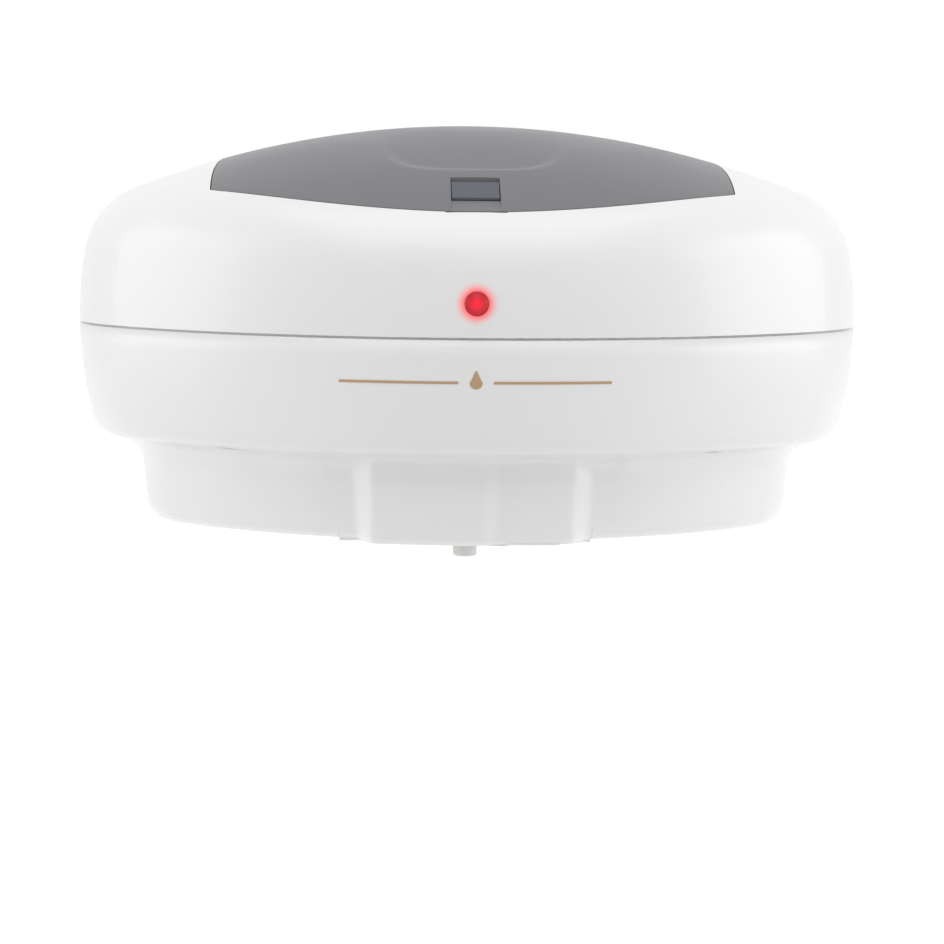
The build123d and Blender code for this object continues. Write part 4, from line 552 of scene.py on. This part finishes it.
def piece_from(shape, name, material, body, smooth_angle=SHELL_ANGLE):
    """Turns a bmesh into a piece that rides on a body."""
    mesh = bpy.data.meshes.new(name)
    shape.to_mesh(mesh)
    shape.free()
    mesh.materials.append(material)
    mesh.polygons.foreach_set("use_smooth", [True] * len(mesh.polygons))
    mesh.set_sharp_from_angle(angle=smooth_angle)
    piece = bpy.data.objects.new(name, mesh)
    bpy.context.scene.collection.objects.link(piece)
    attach(piece, body)
    return piece


class ShellSettings(bpy.types.PropertyGroup):
    """Colour and sheen of the white housing."""

    colour: FloatVectorProperty(
        name="Shell colour", description="Colour of the white housing", subtype="COLOR",
        size=3, min=0, max=1, default=(0.80, 0.80, 0.80),
    )
    sheen: FloatProperty(
        name="Sheen", description="Roughness of the moulded housing", subtype="FACTOR",
        min=0.05, max=0.9, default=0.30,
    )


class LidSettings(bpy.types.PropertyGroup):
    """Colour of the lid and size of its finger dish."""

    colour: FloatVectorProperty(
        name="Lid colour", description="Colour of the smoked lid", subtype="COLOR", size=3,
        min=0, max=1, default=(0.162, 0.164, 0.174),
    )
    dish_depth: FloatProperty(
        name="Dish depth", description="Depth of the shallow dish behind the latch",
        subtype="DISTANCE", min=0, max=0.002, default=0.0012,
    )


class LampSettings(bpy.types.PropertyGroup):
    """Colour and strength of the indicator."""

    colour: FloatVectorProperty(
        name="Lamp colour", description="Colour of the lit indicator", subtype="COLOR", size=3,
        min=0, max=1, default=(0.78, 0.010, 0.026),
    )
    strength: FloatProperty(
        name="Lamp strength", description="Strength of the lit indicator", min=0, max=5,
        default=0.6,
    )


class StageSettings(bpy.types.PropertyGroup):
    """Light and floor of the studio."""

    key_power: FloatProperty(
        name="Top light", description="Power of the soft box above", subtype="POWER", min=0,
        default=8.3,
    )
    side_power: FloatProperty(
        name="Side lights", description="Power of each soft box at the sides", subtype="POWER",
        min=0, default=6.8,
    )
    fill: FloatProperty(
        name="Fill", description="Strength of the even light all round", subtype="FACTOR",
        min=0, max=1, default=0.545,
    )
    floor_drop: FloatProperty(
        name="Floor", description="Drop from the wall screws to the floor", subtype="DISTANCE",
        min=0.1, max=1, default=0.25,
    )


class DISPENSER_OT_shells(bpy.types.Operator):
    """Dress the white housing, its wall plate and the cell door"""

    bl_idname = "dispenser.shells"
    bl_label = "White housing"

    def execute(self, context):
        settings = context.scene.dispenser_shell
        white = self.white_plastic("white housing", settings)
        dress(white, "battery_door", "wall_plate")
        self.lower_shell(white)
        # painted light: a copy of the white plastic with the lamp's pink glow painted into its
        # colour and emission
        lit = self.white_plastic("white housing with painted lamp glow", settings)
        self.paint_lamp_glow(lit, context.scene.dispenser_lamp)
        dress(lit, "upper_cover")
        self.ornament()
        return {"FINISHED"}

    def white_plastic(self, name, settings):
        """The housing's white gloss plastic."""
        return moulded(
            name, settings.colour, settings.sheen - 0.03, settings.sheen + 0.04, tone=0.012,
            ripple=0.6, Specular_IOR_Level=0.45, Coat_Weight=0.12, Coat_Roughness=0.12,
        )

    def paint_lamp_glow(self, material, lamp):
        """Paints the lamp's pink glow into a material's colour and emission, round the lens on the
        skin's outer side.
        """
        tree = material.node_tree
        shader = principled(material)
        along = add_node(tree, "ShaderNodeSeparateXYZ", Vector=object_place(tree)).outputs["Y"]
        outside = spread(tree, along, SKIN_INNER - DEPTH, SKIN_OUTER - DEPTH, 0.0, GLOW_SHARE)
        painted_glow_mask = maths(tree, "MULTIPLY", placed_group(tree, "glow")["Mask"], outside)
        tint = shader.inputs["Base Color"].links[0].from_socket
        pink = blend_colours(tree, painted_glow_mask, tint, shade(lamp.colour, PINK_SHARE))
        feed(tree, shader.inputs["Base Color"], pink)
        glow = blend_colours(tree, painted_glow_mask, (0, 0, 0, 1), shade(lamp.colour, 1.0))
        feed(tree, shader.inputs["Emission Color"], glow)
        shader.inputs["Emission Strength"].default_value = lamp.strength

    def ornament(self):
        """A small tan drop between two fine lines, raised a hair from the front wall."""
        shape = bmesh.new()
        length = ORNAMENT_REACH - ORNAMENT_GAP
        for side in (-1, 1):
            line = bmesh.ops.create_cube(shape, size=1)["verts"]
            bmesh.ops.scale(shape, vec=(length, 1, LINE_WIDTH), verts=line)
            bmesh.ops.translate(shape, vec=(side * (ORNAMENT_GAP + length / 2), 0, 0), verts=line)
        drop = bmesh.ops.create_circle(
            shape, cap_ends=True, segments=DROP_SEGMENTS, radius=DROP_RADIUS,
            matrix=Matrix.Rotation(pi / 2, 4, "X"),
        )["verts"]
        for point in drop:
            rise = max(0.0, point.co.z / DROP_RADIUS)
            point.co.x *= 1 - DROP_TAPER * rise
            point.co.z += DROP_GROWTH * DROP_RADIUS * rise * rise
            point.co.y = 0.5
        made = bmesh.ops.extrude_face_region(shape, geom=[drop[0].link_faces[0]])["geom"]
        for point in (item for item in made if isinstance(item, bmesh.types.BMVert)):
            point.co.y = -0.5
        bmesh.ops.translate(shape, vec=(0, 0, ORNAMENT_HEIGHT), verts=shape.verts)
        cut_by_planes(
            shape, lambda face: True, Vector((1, 0, 0)), -ORNAMENT_REACH, ORNAMENT_REACH,
            ORNAMENT_STEP,
        )
        for point in shape.verts:
            x, y, z = point.co
            point.co.y = front_wall(x, z) + (ORNAMENT_SUNK if y > 0 else -ORNAMENT_PROUD)
        bmesh.ops.recalc_face_normals(shape, faces=shape.faces)
        tan = moulded("tan print", (0.46, 0.30, 0.17), 0.40, 0.50)
        piece_from(shape, "ornament", tan, "housing")

    def lower_shell(self, material):
        """The lower shell with soft strips beside its two panels and a soft cove over them."""
        shape = merged_copy("lower_housing")
        skin = BVHTree.FromBMesh(shape)

        def at_panels(face):
            x, y, z = face.calc_center_median()
            return abs(x) < PANEL_REACH and z < COVE_TOP + CUT_STEP and y < PANEL_REAR

        cut_by_planes(shape, at_panels, Vector((1, 0, 0)), -PANEL_REACH, PANEL_REACH, CUT_STEP)
        cut_by_planes(shape, at_panels, Vector((0, 0, 1)), SECTION_BOTTOM, COVE_TOP, CUT_STEP)
        for point in shape.verts:
            x, y, z = point.co
            if abs(x) >= PANEL_REACH or z > COVE_TOP or y > PANEL_REAR:
                continue
            height = max(z, SECTION_BOTTOM + PROBE_LIFT)
            hits = [
                skin.ray_cast(Vector((x + side, -2 * DEPTH, height)), Vector((0, 1, 0)))[0]
                for side in (-PROBE_SIDE, PROBE_SIDE)
            ]
            if None in hits:
                continue
            rear = max(hit.y for hit in hits)
            point.co.y += hold_share(x, y, z, rear) * (section_front(x, height) - min(y, rear))
        bmesh.ops.dissolve_degenerate(shape, edges=shape.edges, dist=MERGE_REACH)
        piece = piece_from(shape, "lower_shell", material, "housing")
        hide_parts("lower_housing")


class DISPENSER_OT_lid(bpy.types.Operator):
    """Dress the smoked lid and its latch"""

    bl_idname = "dispenser.lid"
    bl_label = "Lid and latch"

    def execute(self, context):
        settings = context.scene.dispenser_lid
        smoked = moulded(
            "smoked lid", settings.colour, 0.34, 0.42, tone=0.03, Specular_IOR_Level=0.35,
        )
        self.dished_lid(smoked, settings.dish_depth)
        latch = moulded(
            "latch grey", (0.080, 0.082, 0.108), 0.24, 0.32, Specular_IOR_Level=0.4,
        )
        dress(latch, "latch_button")
        return {"FINISHED"}

    def dished_lid(self, material, depth):
        """The lid with a shallow finger dish behind its latch."""
        shape = merged_copy("lid")

        def at_dish(face):
            x, y, z = face.calc_center_median()
            beside = abs(x) < DISH_HALF_WIDTH + DISH_MARGIN
            behind = DISH_FRONT - DISH_MARGIN < y < DISH_REAR
            upward = face.normal.z > UPWARD and z > crown_height(x, y) - LID_SKIN
            return beside and behind and upward

        cut_by_planes(
            shape, at_dish, Vector((1, 0, 0)), -DISH_HALF_WIDTH, DISH_HALF_WIDTH, CUT_STEP,
        )
        cut_by_planes(shape, at_dish, Vector((0, 1, 0)), DISH_FRONT, DISH_REAR, CUT_STEP)
        for point in shape.verts:
            if on_dish(*point.co):
                point.co.z -= dish_drop(point.co.x, point.co.y, depth)
        piece = piece_from(shape, "dished_lid", material, "lid", smooth_angle=LID_ANGLE)
        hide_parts("lid")


class DISPENSER_OT_lamp(bpy.types.Operator):
    """Dress the lit indicator lens and the lamp behind it"""

    bl_idname = "dispenser.lamp"
    bl_label = "Indicator lamp"

    def execute(self, context):
        settings = context.scene.dispenser_lamp
        lens = moulded(
            "indicator lens", settings.colour, 0.34, 0.42, tone=0.05, Specular_IOR_Level=0.3,
            Emission_Strength=settings.strength,
        )
        tree = lens.node_tree
        shader = principled(lens)
        middle = placed_group(tree, "glow", Inner=LENS_INNER, Outer=LENS_OUTER, Falloff=1.0)["Mask"]
        rim = shade(settings.colour, LENS_RIM_SHARE)
        body = blend_colours(tree, middle, rim, shade(settings.colour, LENS_BODY_SHARE))
        feed(tree, shader.inputs["Base Color"], body)
        red, green, blue = settings.colour
        bright = (red, green * LENS_GREEN_LIFT, blue * LENS_BLUE_LIFT, 1)
        light = blend_colours(tree, middle, shade(settings.colour, LENS_EDGE_LIGHT), bright)
        feed(tree, shader.inputs["Emission Color"], light)
        dress(lens, "indicator_lens", "indicator_led")
        return {"FINISHED"}


class DISPENSER_OT_soap_path(bpy.types.Operator):
    """Dress the tank, the seals, the hoses, the spout and the pump"""

    bl_idname = "dispenser.soap_path"
    bl_label = "Tank, pump and spout"

    def execute(self, context):
        tank = moulded(
            "milky tank", (0.80, 0.82, 0.80), 0.30, 0.42, tone=0.03, Transmission_Weight=0.35,
            IOR=1.49, Subsurface_Weight=0.2, Subsurface_Scale=0.01,
        )
        dress(tank, "soap_tank")
        silicone = moulded(
            "milky silicone", (0.72, 0.74, 0.72), 0.35, 0.48, tone=0.04, Subsurface_Weight=0.3,
            Subsurface_Scale=0.004,
        )
        dress(
            silicone, "lid_gasket", "rim_gasket", "inlet_hose", "outlet_hose", "nozzle",
            "drip_valve",
        )
        rubber = moulded(
            "black rubber", (0.03, 0.03, 0.032), 0.55, 0.72, relief=0.00004, tone=0.2,
        )
        dress(rubber, "pump_gasket", "shaft_seal")
        acetal = moulded(
            "acetal", (0.74, 0.72, 0.64), 0.32, 0.44, tone=0.05, Subsurface_Weight=0.1,
            Subsurface_Scale=0.003,
        )
        dress(acetal, "outlet_strainer", "pump_drive_gear", "pump_idler_gear", "reduction_gear")
        casing = moulded(
            "pump casing", (0.10, 0.105, 0.115), 0.42, 0.55, relief=0.00004, tone=0.12,
        )
        dress(casing, "pump_body", "pump_cover", "nozzle_collar")
        return {"FINISHED"}


class DISPENSER_OT_metal(bpy.types.Operator):
    """Dress the shafts, the motor, the springs and the fasteners"""

    bl_idname = "dispenser.metal"
    bl_label = "Metal pieces"

    def execute(self, context):
        ground = drawn("ground steel", (0.56, 0.56, 0.57), 0.20, (90.0, 3000.0, 3000.0))
        dress(ground, "drive_shaft", "idler_shaft", "motor_shaft", "hinge_pins")
        plated = drawn("plated steel", (0.62, 0.61, 0.58), 0.28, (900.0, 900.0, 900.0))
        dress(
            plated, "motor_can", "motor_bracket", "motor_screws", "pump_screws", "inner_screws",
            "shell_screws", "led_screws", "component_leads",
        )
        spring = drawn("spring steel", (0.66, 0.66, 0.67), 0.16, (1800.0, 1800.0, 300.0))
        dress(
            spring, "latch_spring", "contact_springs", "contact_plates", "contact_dimples",
            "hose_clips",
        )
        brass = drawn("brass", (0.70, 0.50, 0.22), 0.24, (300.0, 1800.0, 1800.0))
        dress(brass, "motor_pinion", "motor_terminals")
        return {"FINISHED"}


class DISPENSER_OT_electronics(bpy.types.Operator):
    """Dress the cells, the boards, the sensor, the switch and the wires"""

    bl_idname = "dispenser.electronics"
    bl_label = "Cells and electronics"

    def execute(self, context):
        dark = moulded(
            "dark plastic", (0.035, 0.036, 0.04), 0.40, 0.55, relief=0.00004, tone=0.15,
        )
        dress(dark, "battery_box", "motor_end_cap", "switch_body", "switch_knob")
        chips = moulded(
            "chip resin", (0.02, 0.02, 0.022), 0.45, 0.60, relief=0.00003, tone=0.2,
        )
        dress(chips, "board_chips", "board_transistor")
        sleeve = moulded("capacitor sleeve", (0.02, 0.025, 0.09), 0.18, 0.28, tone=0.1)
        dress(sleeve, "board_capacitors")
        ivory = moulded("plug ivory", (0.80, 0.76, 0.62), 0.35, 0.48)
        dress(ivory, "board_connectors")
        window = moulded(
            "sensor window", (0.012, 0.008, 0.016), 0.06, 0.12, tone=0.1, Coat_Weight=0.5,
        )
        dress(window, "sensor_window", "infrared_receiver")
        clear = moulded(
            "clear resin", (0.70, 0.74, 0.84), 0.05, 0.12, Transmission_Weight=0.6, IOR=1.5,
        )
        dress(clear, "infrared_emitter")
        red = moulded("red sleeve", (0.55, 0.02, 0.015), 0.35, 0.48, tone=0.08)
        dress(red, "red_wires")
        black = moulded("black sleeve", (0.02, 0.02, 0.02), 0.35, 0.48, tone=0.2)
        dress(black, "black_wires")
        dress(self.board(), "control_board", "sensor_board", "led_board")
        dress(self.cell_jacket(), "batteries")
        return {"FINISHED"}

    def board(self):
        """Green lacquer over copper tracks, with tinned pads."""
        material, tree, shader = new_material("circuit board")
        marks = placed_group(tree, "tracks")
        green = (0.008, 0.10, 0.035, 1)
        raised_green = (0.03, 0.22, 0.07, 1)
        lacquer = blend_colours(tree, marks["Track"], green, raised_green)
        tinned = blend_colours(tree, marks["Pad"], lacquer, (0.62, 0.62, 0.58, 1))
        bump = add_node(
            tree, "ShaderNodeBump", Strength=0.5, Distance=0.00004, Height=marks["Height"],
        )
        feed(tree, shader.inputs["Base Color"], tinned)
        feed(tree, shader.inputs["Roughness"], spread(tree, marks["Pad"], 0.0, 1.0, 0.22, 0.40))
        feed(tree, shader.inputs["Normal"], bump.outputs[0])
        return material

    def cell_jacket(self):
        """Sleeve of a cell: dark, with a light band near one end, between bare steel ends."""
        material, tree, shader = new_material("cell jacket")
        surface = placed_group(tree, "moulded", Sheen_Low=0.22, Sheen_High=0.32)
        low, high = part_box("batteries")
        along = add_node(tree, "ShaderNodeSeparateXYZ", Vector=object_place(tree)).outputs["Y"]
        middle = (low.y + high.y) / 2
        reach = (high.y - low.y) / 2
        distance = maths(tree, "ABSOLUTE", maths(tree, "SUBTRACT", along, middle))
        metal = spread(tree, distance, reach - CELL_END, reach - CELL_EDGE)
        band = spread(tree, along, middle + reach * BAND_START, middle + reach * BAND_END)
        sleeve = blend_colours(tree, band, (0.02, 0.05, 0.11, 1), (0.62, 0.50, 0.22, 1))
        tint = blend_colours(tree, metal, sleeve, (0.60, 0.60, 0.60, 1))
        feed(tree, shader.inputs["Base Color"], tint)
        feed(tree, shader.inputs["Metallic"], metal)
        feed(tree, shader.inputs["Roughness"], surface["Roughness"])
        return material


class DISPENSER_OT_stage(bpy.types.Operator):
    """Set the floor, the even light, the soft boxes and the camera"""

    bl_idname = "dispenser.stage"
    bl_label = "Studio"

    def execute(self, context):
        settings = context.scene.dispenser_stage
        self.floor(settings)
        self.sky(settings)
        side_x, side_y, side_z = SIDE_PLACE
        side = settings.side_power
        self.soft_box("top light", TOP_PLACE, TOP_SIZE, settings.key_power)
        self.soft_box("left light", (-side_x, side_y, side_z), SIDE_SIZE, side)
        self.soft_box("right light", (side_x, side_y, side_z), SIDE_SIZE, side * RIGHT_SHARE)
        self.camera(context)
        context.scene.view_settings.view_transform = "Standard"
        return {"FINISHED"}

    def floor(self, settings):
        """A plain pale floor that is white to the camera and clear from below."""
        shape = bmesh.new()
        bmesh.ops.create_grid(shape, x_segments=1, y_segments=1, size=FLOOR_SIZE)
        bmesh.ops.translate(shape, vec=(0, 0, -settings.floor_drop), verts=shape.verts)
        mesh = bpy.data.meshes.new("floor")
        shape.to_mesh(mesh)
        shape.free()
        mesh.materials.append(self.floor_material(settings))
        floor = bpy.data.objects.new("floor", mesh)
        bpy.context.scene.collection.objects.link(floor)

    def floor_material(self, settings):
        """A matt floor that adds the missing light where the camera or a mirror sees it."""
        material = bpy.data.materials.new("pale floor")
        material.use_nodes = True
        tree = material.node_tree
        tree.nodes.clear()
        speckle = noise(tree, object_place(tree), 40.0, 3.0)
        pale = blend_colours(tree, speckle, (0.86, 0.86, 0.86, 1), (0.90, 0.90, 0.90, 1))
        matt = add_node(tree, "ShaderNodeBsdfDiffuse", Color=pale)
        lift = 1.0 - FLOOR_SHARE * settings.fill
        white = add_node(tree, "ShaderNodeEmission", Color=(1, 1, 1, 1), Strength=lift)
        lit = tree.nodes.new("ShaderNodeAddShader")
        tree.links.new(matt.outputs[0], lit.inputs[0])
        tree.links.new(white.outputs[0], lit.inputs[1])
        shown = self.mixed_shaders(tree, self.seen_rays(tree), matt, lit)
        clear = tree.nodes.new("ShaderNodeBsdfTransparent")
        under = tree.nodes.new("ShaderNodeNewGeometry").outputs["Backfacing"]
        both = self.mixed_shaders(tree, under, shown, clear)
        out = tree.nodes.new("ShaderNodeOutputMaterial")
        tree.links.new(both.outputs[0], out.inputs[0])
        return material

    def mixed_shaders(self, tree, share, first, second):
        """Two shaders mixed by a mask."""
        made = tree.nodes.new("ShaderNodeMixShader")
        for index, socket in enumerate((share, first.outputs[0], second.outputs[0])):
            tree.links.new(socket, made.inputs[index])
        return made

    def seen_rays(self, tree, *others):
        """A mask of the camera's and mirrors' rays, and of others that are named."""
        path = tree.nodes.new("ShaderNodeLightPath")
        seen = path.outputs["Is Camera Ray"]
        for name in ("Is Glossy Ray", *others):
            seen = maths(tree, "MAXIMUM", seen, path.outputs[name])
        return seen

    def sky(self, settings):
        """Even light all round that the camera, mirrors and glass see as white."""
        world = bpy.data.worlds.new("studio")
        bpy.context.scene.world = world
        world.use_nodes = True
        tree = world.node_tree
        tree.nodes.clear()
        seen = self.seen_rays(tree, "Is Transmission Ray")
        added = maths(tree, "MULTIPLY", seen, 1.0 - settings.fill)
        strength = maths(tree, "ADD", added, settings.fill)
        back = add_node(tree, "ShaderNodeBackground", Color=(1, 1, 1, 1), Strength=strength)
        out = tree.nodes.new("ShaderNodeOutputWorld")
        tree.links.new(back.outputs[0], out.inputs[0])

    def soft_box(self, name, place, size, power):
        """A square area light that faces the dispenser."""
        lamp = bpy.data.lights.new(name, "AREA")
        lamp.size = size
        lamp.energy = power
        box = bpy.data.objects.new(name, lamp)
        box.location = place
        box.rotation_euler = (AIM - Vector(place)).to_track_quat("-Z", "Y").to_euler()
        bpy.context.scene.collection.objects.link(box)

    def camera(self, context):
        """A long lens, a little to the left and above, tipped down at the dispenser."""
        right = Vector((cos(CAMERA_YAW), sin(CAMERA_YAW), 0))
        level_ahead = Vector((-sin(CAMERA_YAW), cos(CAMERA_YAW), 0))
        ahead = level_ahead * cos(CAMERA_TIP) - Vector((0, 0, sin(CAMERA_TIP)))
        above = right.cross(ahead)
        level = right * cos(CAMERA_ROLL) + above * sin(CAMERA_ROLL)
        upright = above * cos(CAMERA_ROLL) - right * sin(CAMERA_ROLL)
        axes = Matrix((level, upright, -ahead)).transposed().to_4x4()
        place = Vector((
            CAMERA_DISTANCE * sin(CAMERA_TURN), -CAMERA_DISTANCE * cos(CAMERA_TURN), CAMERA_HEIGHT,
        ))
        lens = bpy.data.cameras.new("camera")
        lens.lens = FOCAL_PIXELS * SENSOR_WIDTH / PICTURE_PIXELS
        lens.sensor_width = SENSOR_WIDTH
        lens.clip_start = NEAR_CLIP
        view = bpy.data.objects.new("camera", lens)
        view.matrix_world = Matrix.Translation(place) @ axes
        context.scene.collection.objects.link(view)
        context.scene.camera = view


PIECE_OPERATORS = (
    DISPENSER_OT_shells, DISPENSER_OT_lid, DISPENSER_OT_lamp, DISPENSER_OT_soap_path,
    DISPENSER_OT_metal, DISPENSER_OT_electronics, DISPENSER_OT_stage,
)


class DISPENSER_PT_panel(bpy.types.Panel):
    """Lists the dispenser's groups of pieces and their settings."""

    bl_idname = "DISPENSER_PT_panel"
    bl_label = "Soap dispenser"
    bl_space_type = "VIEW_3D"
    bl_region_type = "UI"
    bl_category = "Dispenser"

    def draw(self, context):
        layout = self.layout
        for name in SETTINGS:
            group = getattr(context.scene, name)
            for title in group.__annotations__:
                layout.prop(group, title)
        for operator in PIECE_OPERATORS:
            layout.operator(operator.bl_idname)


SETTINGS = {
    "dispenser_shell": ShellSettings, "dispenser_lid": LidSettings,
    "dispenser_lamp": LampSettings, "dispenser_stage": StageSettings,
}
CLASSES = (*SETTINGS.values(), *PIECE_OPERATORS, DISPENSER_PT_panel)


def register():
    for item in CLASSES:
        bpy.utils.register_class(item)
    for name, group in SETTINGS.items():
        setattr(bpy.types.Scene, name, PointerProperty(type=group))


def unregister():
    for name in SETTINGS:
        delattr(bpy.types.Scene, name)
    for item in reversed(CLASSES):
        bpy.utils.unregister_class(item)


def main():
    register()
    for operator in PIECE_OPERATORS:
        group, name = operator.bl_idname.split(".")
        getattr(getattr(bpy.ops, group), name)()


if __name__ == "__main__":
    main()
